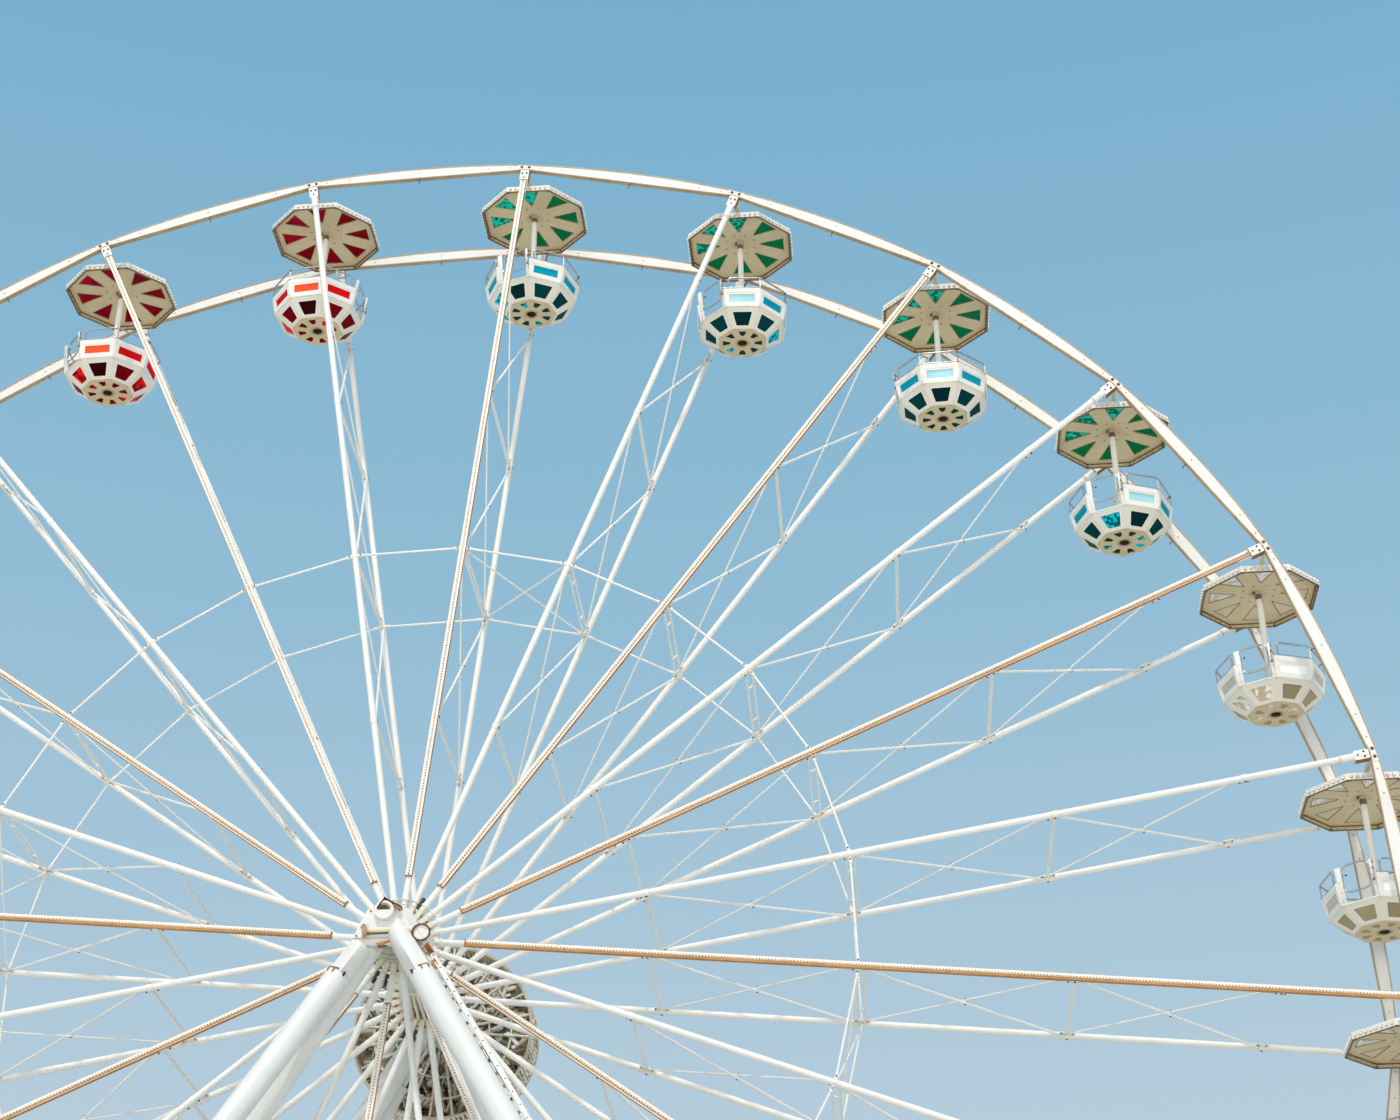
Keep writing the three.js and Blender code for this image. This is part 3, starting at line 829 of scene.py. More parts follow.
def lamp_strip(lean):
    """The lit strip on a front chord: a channel with a row of round caps and an orange band of painted
    shadow.

    The band is the caps' painted shadow, laid to the strip's lower side, and the orange side walls are
    painted shade: lean is 1 or -1 on a level spoke and 0 on an upright one.
    """
    shape = Shape()
    start, end = strip_start, axle_radius - bracket_length - 0.02
    along = chord_point(end, -1) - chord_point(start, -1)
    place = axes(chord_point(start, -1, out=chord_radius - 0.008), along, (0, 0, 1))
    length = along.length
    half = strip_width / 2
    edge = half + 0.006
    # How far the band of painted shadow can spread toward the strip's lower side
    shadow_spread = half - strip_shadow_band / 2
    low = -strip_shadow_band / 2 - shadow_spread * max(0, lean)
    high = strip_shadow_band / 2 + shadow_spread * max(0, -lean)
    shape.block((0, -half, -0.02), (length, half, strip_depth - 0.004), "white", place)
    # The orange band: the caps' painted shadow
    shape.block((0, low, 0), (length, high, strip_depth - 0.002), "strip_shadow_orange", place)
    low, high = 0.008 - chord_radius, strip_depth - 0.006
    # The orange side walls: painted shade on the channel's sides
    for y in (-half - 0.004, half - 0.001):
        shape.block((0, y, low), (length, y + 0.005, high), "strip_side_shade_orange", place)
    for x in (-0.02, length):
        shape.block((x, -edge, -0.03), (x + 0.02, edge, strip_depth), "rust", place)
    for i in range(1, int(length / cap_pitch)):
        centre = place @ Vector((i * cap_pitch, 0, strip_depth - 0.007))
        shape.dome(centre, normal(place), cap_radius, "strip_cap", 8, 1.5)
    for station in stations:
        x = station - start
        shape.block((x - 0.012, -edge, -0.02), (x + 0.012, edge, 0.012), "rust", place)
    return shape


# Hub

def hub_shape():
    """The shaft, the barrel with its collars, rings and slanted struts, the two flanges and the drum."""
    shape = Shape()
    for side in (-1, 1):
        hub_flange(shape, side)
    shape.tube((0, shaft_front, 0), (0, drum_back - 0.06, 0), shaft_radius, "shaft_steel", 32)
    collars = [(0.22, 1.72), (0.35, 1.7), (0.37, 1.68), (0.37, 1.61), (0.33, 1.6), (0.33, 1.57),
               (0.4, 1.56), (0.4, 1.49), (0.35, 1.48), (0.35, 1.44), (0.42, 1.43), (0.42, 1.35), (0.3, 1.34)]
    shape.spin([(radius, -y) for radius, y in collars] + collars[::-1], "grey_green", 48, along_y)
    for y in (-1.585, -1.46, 1.46, 1.585):
        shape.ring(0.3, 0.358, y - 0.009, y + 0.009, "slat", along_y, 48)
    for y in (-1.0, -0.35, 0.35, 1.0):
        profile = [(0.305, y - 0.03), (0.335, y - 0.02), (0.335, y + 0.02), (0.305, y + 0.03)]
        shape.spin(profile, "cream", 40, along_y)
    for k in range(cabin_count):
        middle = spoke_angle(k) + bay / 2
        for side in (-1, 1):
            end = polar(flange_disc - 0.03, middle, side * (flange_y - 0.05))
            shape.tube(polar(0.29, middle, side * 0.45), end, 0.026, "cream", 8)
    drum(shape)
    return shape


def hub_flange(shape, side):
    """A flange with a rib and a bolt in each bay, and dark clips beside a few of the trusses."""
    y, face = side * flange_y, side * 0.03
    shape.ring(0.29, flange_disc, -0.03, 0.03, "grey_green", placed((0, y, 0), (0, side, 0)), 96)
    for k in range(cabin_count):
        before, after = spoke_angle(k) - bay / 2, spoke_angle(k) + bay / 2
        shape.bolt(polar(0.4, after, y + face), (0, side, 0), 0.02, 0.02, "rust")
        rib = axes(polar(0.3, after, y - face), polar(1, after), (0, -side, 0))
        shape.prism([(0, 0), (0.15, 0), (0.0, 0.16)], -0.006, 0.006, "grey_green", rib)
        if k in clip_bays:
            clip = axes(polar(0.72, before, y), polar(1, before), (0, 1, 0))
            shape.block((-0.11, -0.03, -0.028), (0.11, 0.03, 0.028), "rubber", clip, 0.01)


def hoop(shape, radius, y, thickness, finish, sides):
    shape.pipe([polar(radius, math.tau * i / sides, y) for i in range(sides)], thickness, finish, closed=True)


def drum(shape):
    """The round drum of lights behind the hub: hoops, bars, a slatted back and cluttered fittings inside."""
    back = drum_back - 0.06
    for y in (drum_front + 0.03, drum_front + 0.43, drum_back - 0.03):
        hoop(shape, drum_radius - 0.035, y, 0.03, "tan", 72)
    bars = bars_per_bay * cabin_count
    for i in range(bars):
        turn = math.tau * i / bars
        place = axes(polar(drum_radius - 0.05, turn), (0, 1, 0), polar(1, turn))
        finish = ("tan", "cream", "white", "cream", "beige")[i % 5]
        shape.block((drum_front + 0.05, -0.004, -0.028), (drum_back - 0.05, 0.022, 0.028), finish, place)
    for i in range(-slats_each_way, slats_each_way + 1):
        z = i * slat_pitch
        reach = math.sqrt((drum_radius - 0.06) ** 2 - z ** 2)
        dark = i < -light_slats_below
        half = 0.019 if dark else 0.03
        finish = "cream" if i in (-12, -18) else "slat" if dark else ("white", "cream", "tan")[i % 3]
        tilt = at((0, back, z)) @ Matrix.Rotation(math.radians(-24), 4, "X")
        shape.block((-reach, -0.008, -half), (reach, 0.008, half), finish, tilt)
    shape.ring(0.09, drum_radius - 0.08, back + 0.03, back + 0.045, "cream", along_y, 72)
    front, rear = drum_front + 0.04, drum_back - 0.14
    for k in range(cabin_count):
        angle = spoke_angle(k)
        top = polar(drum_inner + 0.06, angle + bay / 2, rear)
        for foot_angle in (angle, angle + bay):
            shape.tube(polar(drum_inner + 0.06, foot_angle, front), top, 0.018, "tan", 8)
        inner_end = polar(shaft_radius, angle, front + 0.02)
        shape.tube(inner_end, polar(drum_radius - 0.04, angle, front), 0.024, "cream", 8)
    for radius in (0.45, 0.85, 1.25):
        hoop(shape, radius, drum_front + 0.07, 0.018, "cream", 48)
    clutter(shape)


def clutter(shape):
    """Lamps, boxes, struts and rusty clips, set at random between the drum's hoops."""
    rng = random.Random(7)
    kinds = ("white", "white", "cream", "cream", "tan", "tan",
             "grey_green", "rust", "orange_rust", "dark_steel")
    for _ in range(clutter_pieces):
        turn = rng.uniform(0, math.tau)
        radius = math.sqrt(rng.uniform(0.12, drum_inner ** 2))
        y = rng.uniform(drum_front + 0.1, drum_back - 0.2)
        place = axes(polar(radius, turn, y), polar(1, turn + rng.uniform(-0.8, 0.8)), (0, 1, 0))
        finish = rng.choice(kinds)
        small = "rust" in finish or "steel" in finish
        long = rng.uniform(0.02, 0.04) if small else rng.uniform(0.04, 0.22)
        wide = rng.uniform(0.015, 0.045)
        shape.block((-long, -wide, -wide), (long, wide, wide), finish, place, wide * 0.3)
    for _ in range(clutter_lamps):
        turn = rng.uniform(0, math.tau)
        y = rng.uniform(drum_front + 0.08, drum_back - 0.08)
        radius = rng.uniform(0.018, 0.03)
        finish = rng.choice(("bulb", "bulb", "rust"))
        shape.dome(polar(drum_radius - 0.03, turn, y), polar(1, turn), radius, finish)
    for k in range(cabin_count):
        for step in range(5):
            centre = polar(0.42 + step * 0.24, spoke_angle(k), drum_front + 0.016)
            shape.dome(centre, (0, -1, 0), 0.028, "bulb")


# Towers

def leg_point(side, across, depth, outer=True):
    """A point on a leg's middle line at a depth below the hub axis."""
    start_y, splay = (outer_start_y, outer_splay) if outer else (inner_y, 0.0)
    x = across * (leg_start_x + leg_slope * depth)
    return Vector((x, side * (start_y + splay * depth), hub.z - depth))


def tower_front(side):
    """The frame of a tower's front: X across, Y up from the hub axis, Z out from the wheel."""
    return Matrix(((1, 0, 0, 0), (0, 0, side, 0), (0, 1, 0, hub.z), (0, 0, 0, 1)))


def tower(side):
    """Two splayed outer legs and two upright inner ones on their feet, the head, stub and cable tray."""
    shape = Shape()
    fall = hub.z - base_top - foot_plate / 2
    for across in (-1, 1):
        outer_leg(shape, side, across, fall)
        top, bottom = [leg_point(side, across, depth, outer=False) for depth in (leg_start, fall)]
        shape.tube(top, bottom, leg_radius, "leg_white", 40)
        for outer in (False, True):
            for depth in flange_depths:
                centre, below = [leg_point(side, across, d, outer) for d in (depth, depth + 1)]
                leg_flange(shape, centre, (below - centre).normalized())
            foot(shape, leg_point(side, across, fall, outer))
    head(shape, side)
    stub(shape, side)
    tray(shape, side)
    return shape


def outer_leg(shape, side, across, fall):
    """A splayed leg: a neck that is round at the top and square below, in the sleeve of the thick leg."""
    depths = (neck_start[across], neck_round_end, neck_square_start, neck_end + 0.02, neck_end, fall)
    top, round_end, square_start, neck_foot, joint, bottom = [leg_point(side, across, d) for d in depths]
    along = (bottom - top).normalized()
    front = Matrix.Rotation(side * across * neck_turn, 3, along) @ square_to(Vector((0, side, 0)), along)
    cheek = along.cross(front)
    half = neck_size / 2
    rings = []
    for centre, squared in ((top, False), (round_end, False), (square_start, True), (neck_foot, True)):
        ring = []
        for spot in circle(1, 48):
            reach = half / max(abs(spot.x), abs(spot.y)) if squared else neck_radius
            ring.append(centre + (front * spot.x + cheek * spot.y) * reach)
        rings.append(ring)
    shape.loft(rings, "leg_white")
    profile = [(leg_radius - 0.03, -0.006), (leg_radius - 0.006, 0.0), (leg_radius, 0.012),
               (leg_radius, (bottom - joint).length)]
    shape.spin(profile, "leg_white", 48, placed(joint, along))
    shape.bolt(joint - along * 0.012, along, leg_radius - 0.028, 0.006, "rust", 48)
    face = joint + front * (half + 0.006)
    step = front * (leg_radius - half)
    hook = [face + step + along * 0.07, face + step - along * 0.004, face - along * 0.06]
    hook = [point + cheek * 0.06 for point in hook] + [point - cheek * 0.06 for point in hook[::-1]]
    shape.pipe(bent(hook, 0.02), 0.011, "rust", 8)
    for turn in (1.15, -1.15, math.pi):
        out = front * math.cos(turn) + cheek * math.sin(turn)
        clip = axes(joint + out * leg_radius, along, out)
        shape.block((-0.05, -0.03, -0.016), (0.035, 0.012, 0.016), "dark_steel", clip, 0.006)


def leg_flange(shape, centre, along):
    """Two bolted rings where two lengths of a leg meet."""
    place = placed(centre, along)
    for z in (-0.035, 0.004):
        shape.ring(leg_radius - 0.005, leg_radius + 0.06, z, z + 0.031, "leg_white", place, 40)
    shape.bolt(centre - along * 0.004, along, leg_radius + 0.03, 0.008, "rust", 40)
    for way in (-1, 1):
        for spot in circle(leg_radius + 0.032, 14, way * 0.035):
            shape.bolt(place @ spot, along * way, 0.016, 0.018)


def foot(shape, bottom):
    """The foot plate of a leg with its gussets and bolts."""
    middle = Vector((bottom.x, bottom.y, base_top + 0.0003 + foot_plate))
    shape.block((-0.5, -0.5, -foot_plate), (0.5, 0.5, 0), "leg_white", at(middle), 0.012)
    for i in range(8):
        out = sides_of((i + 0.5) * eighth)[0]
        place = axes(middle + out * (leg_radius * 0.8), out, (0, 0, 1))
        gusset = [(0, 0), (0.24, 0), (0.24, 0.05), (0.05, 0.36), (0, 0.36)]
        shape.prism(gusset, -0.01, 0.01, "leg_white", place)
        shape.bolt(middle + sides_of(i * eighth)[0] * 0.44, (0, 0, 1), 0.03, 0.035)


def head(shape, side):
    """The bearing head: a five-sided body before a wider rear step, with its housing and fittings."""
    place = tower_front(side)
    low, high = head_back + head_inset, head_front - head_inset
    stem = [(-0.38, -0.2), (0.38, -0.2), *head_outline[2:]]
    sole = [(-0.36, -0.54), (0.3, -0.54), (0.4, -0.42), (-0.46, -0.42)]
    for outline, back, front in ((head_outline, high - 0.33, high), (stem, low, high - 0.3),
                                 (head_step_outline, head_back + 0.02, head_step_front),
                                 (sole, high - 0.16, high - 0.06)):
        shape.prism(outline, back, front, "leg_white", place)
    gable(shape, place, high)
    housing(shape, place)
    strip = [(-0.13, -0.515), (-0.05, -0.498), (0.02, -0.486), (0.106, -0.464), (0.14, -0.5), (0.05, -0.522),
             (-0.02, -0.548), (-0.1, -0.552)]
    shape.prism(strip, high - 0.1, high - 0.045, "orange_rust", place)
    # A dark copy, lower and further back: painted shade under the rust strip
    shape.prism([(x + 0.01, z - 0.016) for x, z in strip], high - 0.14, high - 0.08, "lip_brown", place)
    shape.block((0.195, -0.24, high - 0.01), (0.245, -0.21, high + 0.012), "slat", place, 0.004)
    for x, y in ((-0.44, -0.4), (0.44, -0.4), (-0.23, 0.02), (0.24, 0.02)):
        shape.bolt(place @ Vector((x, y, high)), (0, side, 0), 0.018, 0.016, "slat")
    y, z = side * cross_tube_y, hub.z - cross_tube_drop
    left, right = cross_tube_ends
    shape.tube((left, y, z), (right, y, z), cross_tube_radius, "cream", 28)
    # The brown block under the tube: painted shade
    under = -cross_tube_drop - cross_tube_radius
    shape.block((left, under - 0.004, cross_tube_y - 0.03), (0.1, under + 0.012, cross_tube_y + 0.03),
                "lip_brown", place)
    flange = placed((left - 0.01, y, z), (-0.8, side * 0.55, -0.15))
    shape.spin([(0.11, -0.014), (0.118, -0.01), (0.118, 0.01), (0.11, 0.014)], "beige", 32, flange)
    shape.bolts(flange, circle(0.09, 6, 0.014), 0.01, 0.01, "rust")


def gable(shape, place, high):
    """Dark prisms of painted shade for the gap along the two edges of the head's roof plate, with a rusty
    strip below the right one.
    """
    apex, shoulder = Vector(head_outline[3]), Vector(head_outline[2])
    for end in (shoulder, Vector((-0.118, 0.03))):
        along = (end - apex).normalized()
        out = Vector((-along.y, along.x)) * math.copysign(0.018, along.x)
        gap = [apex - along * 0.01, end, end - out, apex - out]
        shape.prism(gap, high - 0.02, high + 0.112, "dark_steel", place)
    along = (shoulder - apex).normalized()
    below = Vector((along.y, -along.x)) * 0.022
    strip = [apex.lerp(shoulder, 0.55) + below, shoulder + below, shoulder + below * 1.9,
             apex.lerp(shoulder, 0.6) + below * 1.9]
    shape.prism(strip, high - 0.01, high + 0.1, "orange_rust", place)


def housing(shape, place):
    """The round bearing housing: dark in its upper half, with a white cover over the lower half."""
    front = head_front
    profile = [(housing_bore, head_back), (housing_radius, head_back), (housing_radius, front - 0.016),
               (housing_radius - 0.01, front), (housing_bore + 0.008, front), (housing_bore, front - 0.01)]
    shape.spin(profile, "leg_white", 48, place, closed=True)

    def half_round(radius, start=0):
        return circle(radius, 32)[start:start + 16] + [circle(radius, 32)[(start + 16) % 32]]

    shape.prism(half_round(housing_bore, 16), front - 0.035, front - 0.012, "leg_white", place)
    shape.prism(half_round(housing_bore - 0.003) + half_round(housing_bore - 0.026)[::-1], front - 0.3,
                front - 0.02, "orange_rust", place)
    shape.prism(half_round(housing_bore - 0.027), front - 0.29, front - 0.03, "rubber", place)


def stub(shape, side):
    """A short open tube beside the head, with a rusty rim and the brackets under it."""
    place = tower_front(side) @ at((0.62, -0.4, 0))
    front, back = cross_tube_y + 0.02, 2.1
    shape.ring(0.122, 0.142, back, front, "leg_white", place, 40)
    shape.ring(0.124, 0.15, front - 0.01, front + 0.012, "dark_rust", place, 40)
    for turn in (1.9, 2.3, 2.7, 3.0, 3.4, 4.3):
        lump = at(place @ (sides_of(turn)[0] * 0.144 + raised(front))) @ Matrix.Rotation(turn, 4, "Y")
        shape.block((-0.012, -0.024, -0.016), (0.012, 0.024, 0.014), "dark_rust", lump, 0.006)
    shape.ring(0.004, 0.123, front - 0.04, front - 0.02, "leg_white", place)
    bar = [place @ Vector((x, y, front - 0.02)) for x, y in ((-0.05, 0.085), (0.04, -0.085))]
    shape.pipe(bar, 0.016, "white", 10)
    shape.block((-0.34, -0.05, back + 0.08), (-0.13, 0.1, front - 0.1), "leg_white", place, 0.01)
    for x, y, long, half in ((0.13, -0.28, 0.085, 0.05), (0.25, -0.53, 0.065, 0.03)):
        tilt = place @ at((x, y, 0)) @ Matrix.Rotation(math.radians(34), 4, "Z")
        shape.block((-half, -long, 2.42), (half, long, 2.56), "dark_rust", tilt, 0.01)
        for edge in (-1, 1):
            near, far = edge * (half - 0.012), edge * (half + 0.008)
            shape.block((near, -long - 0.01, 2.54), (far, long + 0.01, 2.575), "orange_rust", tilt, 0.004)


def tray(shape, side):
    """The flat cable tray that runs down beside the right outer leg, and the thin conduit between them."""
    start, end = [leg_point(side, 1, depth) for depth in (neck_round_end, hub.z - base_top - 0.35)]
    length = (end - start).length
    along = (end - start).normalized()
    out = square_to(Vector((1, 0, 0)), along)
    place = axes(start + out * tray_offset, along, out)
    half = tray_width / 2
    conduit_y = leg_radius + 0.016 - tray_offset
    shape.block((0, -half, -0.014), (length, half, 0.014), "leg_white", place, 0.004)
    for y in (-half - 0.005, half):
        shape.block((0, y, -0.02), (length, y + 0.005, 0.022), "leg_white", place)
    for i in range(int(length / rivet_pitch)):
        x = 0.12 + i * rivet_pitch
        for face in (-1, 1):
            rivet = placed(place @ Vector((x, 0, face * 0.014)), normal(place) * face)
            shape.spin([(0.013, 0.0), (0.01, 0.005)], "dark_steel", 8, rivet)
        if i % 4 == 0:
            shape.block((x - 0.02, leg_radius - tray_offset - 0.01, -0.012), (x + 0.02, -half, 0.012),
                        "leg_white", place)
        clip = axes(place @ Vector((x + 0.9, conduit_y, 0.02)), along, out)
        finish = "slat" if i % 3 else "dark_steel"
        shape.block((-0.03, -0.014, -0.012), (0.03, 0.014, 0.016), finish, clip, 0.005)
    shape.tube(*[place @ Vector((x, conduit_y, 0.02)) for x in (0.9, length - 0.1)], 0.01, "leg_white", 10)


# Base

def base():
    """Beams across and along, with bolts and gussets where they cross."""
    shape = Shape()
    fall = hub.z - base_top
    foot_x = leg_start_x + leg_slope * fall
    outer_y = outer_start_y + outer_splay * fall
    rows = (-outer_y, -inner_y, inner_y, outer_y)
    columns = (-foot_x, -foot_x / 3, foot_x / 3, foot_x)
    for y in rows:
        beam(shape, Vector((-base_high.x, y, 0)), Vector((base_high.x, y, 0)), 0.0)
    for x in columns:
        beam(shape, Vector((x, -base_high.y, 0)), Vector((x, base_high.y, 0)), 0.002)
        for y in rows:
            crossing(shape, x, y)
    return shape


def beam(shape, start, end, drop):
    """A beam with flanges, a web and stiffeners; drop keeps its faces off those of the beams it crosses."""
    length = (end - start).length
    place = axes(start, end - start, Vector((0, 0, 1)).cross(end - start))
    half = beam_width / 2
    high = base_top - drop
    for z in (drop, high - 0.035):
        shape.block((drop, -half, z), (length - drop, half, z + 0.035), "base_white", place, 0.005)
    shape.block((drop + 0.02, -half + 0.06, drop + 0.03), (length - drop - 0.02, half - 0.06, high - 0.03),
                "base_white", place)
    count = int(length / stiffener_pitch)
    for i in range(count + 1):
        x = 0.05 + (length - 0.1) * i / count
        for y in (-half + 0.012, half - 0.062):
            shape.block((x - 0.008, y, drop + 0.03), (x + 0.008, y + 0.05, high - 0.03), "base_white", place)


def crossing(shape, x, y):
    """Bolts and corner gussets at a crossing of two beams."""
    edge = beam_width / 2 + 0.2
    inset = beam_width / 2 - 0.06
    for sx in (-1, 1):
        for sy in (-1, 1):
            for dx, dy in ((edge, 0.24), (0.24, edge)):
                shape.bolt((x + sx * dx, y + sy * dy, base_top - 0.001), (0, 0, 1), 0.022, 0.02)
            corner = axes((x + sx * inset, y + sy * inset, base_top - 0.034), (sx, 0, 0), (0, sy, 0))
            shape.prism([(0, 0), (0.3, 0), (0, 0.3)], -0.006, 0.006, "base_white", corner)


# Cabins

def canopy():
    """The pole with its sleeve, the octagonal roof with eight panes, and the fascia."""
    shape, panes, bulbs = Shape(), Shape(), Shape()
    inner, outer = 0.075, canopy_radius - canopy_sheet
    drop = (ceiling_centre - ceiling_edge) / (outer * octagon)
    stretch = octagon * math.hypot(1, drop)
    sheet = trapezoid(outer * half_side, outer * stretch, inner * half_side, inner * stretch)
    window = trapezoid(0.175, 0.865, 0.012, 0.43)
    seal_window = rounded([(x * 0.985, y) for x, y in window], 0.01, 2)
    for i in range(8):
        out, along = sides_of(i * eighth)
        place = axes((0, 0, ceiling_centre), along, out - raised(drop))
        # The sheet's beige finish is partly painted warm shade on the underside
        shape.panel(sheet, rounded(window, 0.01, 2), -0.026, 0.0, "ceiling", place)
        shape.panel(trapezoid(0.187, 0.874, 0.014, 0.405), seal_window, -0.001, 0.004, "seal", place)
        panes.prism(smooth(trapezoid(0.18, 0.87, 0.013, 0.42), 0.01, 2), -0.013, -0.008, f"roof_{i}", place)
    roof_trim(shape, drop)
    fascia(shape, bulbs)
    pole(shape)
    return shape, panes, bulbs


def roof_trim(shape, drop):
    """Ribs on the roof, the plate round the stub, and the bolts and ring on the ceiling."""
    for i in range(8):
        out, along = sides_of((i + 0.5) * eighth)
        slope = out - raised(drop * octagon)
        rib = axes((0, 0, ceiling_centre + 0.026), along, slope)
        shape.block((-0.018, 0.1, -0.018), (0.018, 1.06, 0.0), "cream", rib)
        shape.bolt(slope.normalized() * 0.3 + raised(ceiling_centre), (0, 0, -1), 0.012, 0.008)
    shape.block((-0.16, -0.16, -0.142), (0.16, 0.16, canopy_apex + 0.004), "grey_green", None, 0.006)
    for x in (-0.13, 0.13):
        for y in (-0.13, 0.13):
            shape.bolt((x, y, canopy_apex + 0.004), (0, 0, 1), 0.014, 0.014)
    shape.spin([(0.062, -0.225), (0.07, -0.215), (0.07, -0.165), (0.062, -0.16)], "tan", 28)
    shape.ring(0.16, 0.24, -0.182, -0.174, "ceiling")
    shape.ring(pole_radius - 0.01, pole_radius + 0.004, -0.325, -0.2, "lip_brown", None, 28)
    shape.block((-0.105, -0.055, -0.215), (-0.06, 0.02, -0.178), "lip_brown", None, 0.01)


def fascia(shape, bulbs):
    """The band round the canopy: white outside with bulbs, beige inside as painted shade, with a dark lower
    lip and a dark strip of painted shadow where the roof meets it.
    """
    for inner, outer, low, high, finish in (
            (0.014, 0.0, canopy_bottom + 0.014, canopy_top, "white"),
            # The beige inner face: painted shade
            (0.03, 0.015, canopy_bottom + 0.014, canopy_top - 0.006, "ceiling"),
            (0.036, -0.003, canopy_bottom, canopy_bottom + 0.013, "lip_brown"),
            # The dark strip at the roof's edge: painted shadow of the gap
            (0.052, 0.031, ceiling_edge - 0.016, ceiling_edge - 0.002, "lip_brown")):
        near, far = canopy_radius - inner, canopy_radius - outer
        shape.band([(near, low), (far, low), (far, high), (near, high)], finish)
    for i in range(8):
        out, along = sides_of(i * eighth)
        face = out * canopy_radius * octagon + raised(-0.262)
        for j in range(bulbs_per_side):
            spot = face + along * (j - (bulbs_per_side - 1) / 2) * bulb_pitch
            shape.bolt(spot, out, 0.034, 0.006, "beige", 8)
            bulbs.dome(spot + out * 0.005, out, 0.025, "bulb", 8, 1.2)
        for j in range(-2, 3):
            spot = out * ((canopy_radius - 0.03) * octagon) + along * (0.15 * j) + raised(-0.29)
            shape.bolt(spot, -out, 0.008, 0.005)
        corner = sides_of((i + 0.5) * eighth)[0]
        place = axes(corner * (canopy_radius - 0.03) + raised(-0.31), corner, (0, 0, 1))
        shape.block((-0.03, -0.02, -0.02), (0.006, 0.014, 0.02), "lip_brown", place)


def pole(shape):
    """The hanger pole, from the sleeve on the cabin axle down to the flange under the tub."""
    shape.tube((0, 0, -0.02), (0, 0, -0.2), 0.06, "cream", 28)
    shape.tube((0, 0, -0.19), (0, 0, -2.61), pole_radius, "white", 28)
    bore = cabin_axle_radius + 0.0006
    end = [(bore, 0.15), (0.086, 0.15), (0.092, 0.142), (0.092, 0.11), (0.084, 0.1)]
    shape.spin([(r, -y) for r, y in end] + end[::-1], "cream", 32, along_y, closed=True)
    for y in (-0.126, 0.126):
        for turn in (0.25, 0.75):
            way = polar(1, math.tau * turn)
            shape.bolt(Vector((0, y, 0)) + way * 0.091, way, 0.012, 0.01)
    shape.spin([(0.058, -0.11), (0.075, -0.1), (0.075, -0.075), (0.058, -0.06)], "beige", 28)
    shape.spin([(0.035, -2.64), (0.082, -2.64), (0.082, -2.622), (0.05, -2.6)], "grease", 24)


def tub():
    """The octagonal tub, its doorway toward +X: panels and panes, floor, seams, rolled edge and posts."""
    body, panes = Shape(), Shape()
    rise, lean = tub_height - ridge_height, (tub_radius - ridge_radius) * octagon
    slope_rise, slope_run = ridge_height - floor_edge, (ridge_radius - floor_radius) * octagon
    for i in range(8):
        out, along = sides_of(i * eighth)
        if i:
            foot_line = out * ridge_radius * octagon + raised(ridge_height)
            place = axes(foot_line, along, out * lean + raised(rise))
            upper_panel(body, panes, place, math.hypot(rise, lean), i)
        foot_line = out * floor_radius * octagon + raised(floor_edge)
        place = axes(foot_line, along, out * slope_run + raised(slope_rise))
        lower_panel(body, panes, place, math.hypot(slope_rise, slope_run), i)
        dish_panel(body, panes, axes((0, 0, dish_bottom), along, out), i)
    body.band([(dish_radius, dish_bottom + 0.0005), (floor_radius, floor_edge),
               (floor_radius, floor_edge + 0.014), (dish_radius - 0.006, dish_bottom + 0.014)], "dish")
    body.band([(sleeve_radius, floor_top - 0.02), (floor_radius - 0.004, floor_top - 0.02),
               (floor_radius + 0.02, floor_top), (sleeve_radius, floor_top)], "lower_cream")
    ridge = octagon_corners(ridge_radius + 0.004, ridge_height)
    for start, end in zip(ridge, ridge[1:] + ridge[:1]):
        body.tube(start, end, 0.01, "white", 8)
    top = octagon_corners(tub_radius - wall / 2, tub_height + 0.002)
    for start, end in zip(top, top[1:]):
        body.tube(start, end, 0.021, "white", 10)
    centre_sleeve(body)
    door_frame(body)
    return body, panes


def upper_panel(body, panes, place, height, i):
    """An upright panel: an outer skin with a raised border and a recessed pane."""
    ridge, rim_half = ridge_radius * half_side, tub_radius * half_side
    window = rounded(trapezoid(0.25, 0.098, 0.25, 0.263), 0.008, 2)
    body.panel(trapezoid(ridge, 0, rim_half, height), window, -wall, 0.0, "white", place)
    border = trapezoid(ridge - 0.012, 0.012, rim_half - 0.014, height - 0.012)
    body.panel(border, rounded(trapezoid(0.287, 0.062, 0.297, 0.3), 0.012, 2), 0.0, 0.007, "white", place)
    panes.prism(trapezoid(0.255, 0.093, 0.255, 0.268), -0.025, -0.02, f"upper_{i}", place)
    x = rim_half - 0.035
    body.bolts(place, [(a, b, 0.006) for a in (-x, x) for b in (0.04, height - 0.05)], 0.007, 0.005, "beige")


def lower_panel(body, panes, place, slope, i):
    """A sloped panel: cream, partly painted warm shade as it faces down, with a trapezoid pane in a pale
    border.
    """
    ridge = ridge_radius * half_side
    corners = trapezoid(floor_radius * half_side, 0, ridge, slope)
    window = rounded(trapezoid(0.115, 0.062, 0.188, 0.335), 0.018)
    body.panel(corners, window, -0.03, 0.0, "lower_cream", place)
    body.panel(trapezoid(0.136, 0.042, 0.216, 0.356), window, 0.0, 0.005, "white", place)
    panes.prism(trapezoid(0.122, 0.055, 0.195, 0.342), -0.017, -0.012, f"lower_{i}", place)
    body.bolts(place, [(x, slope - 0.03, 0) for x in (0.03 - ridge, ridge - 0.03)], 0.008, 0.006, "beige")


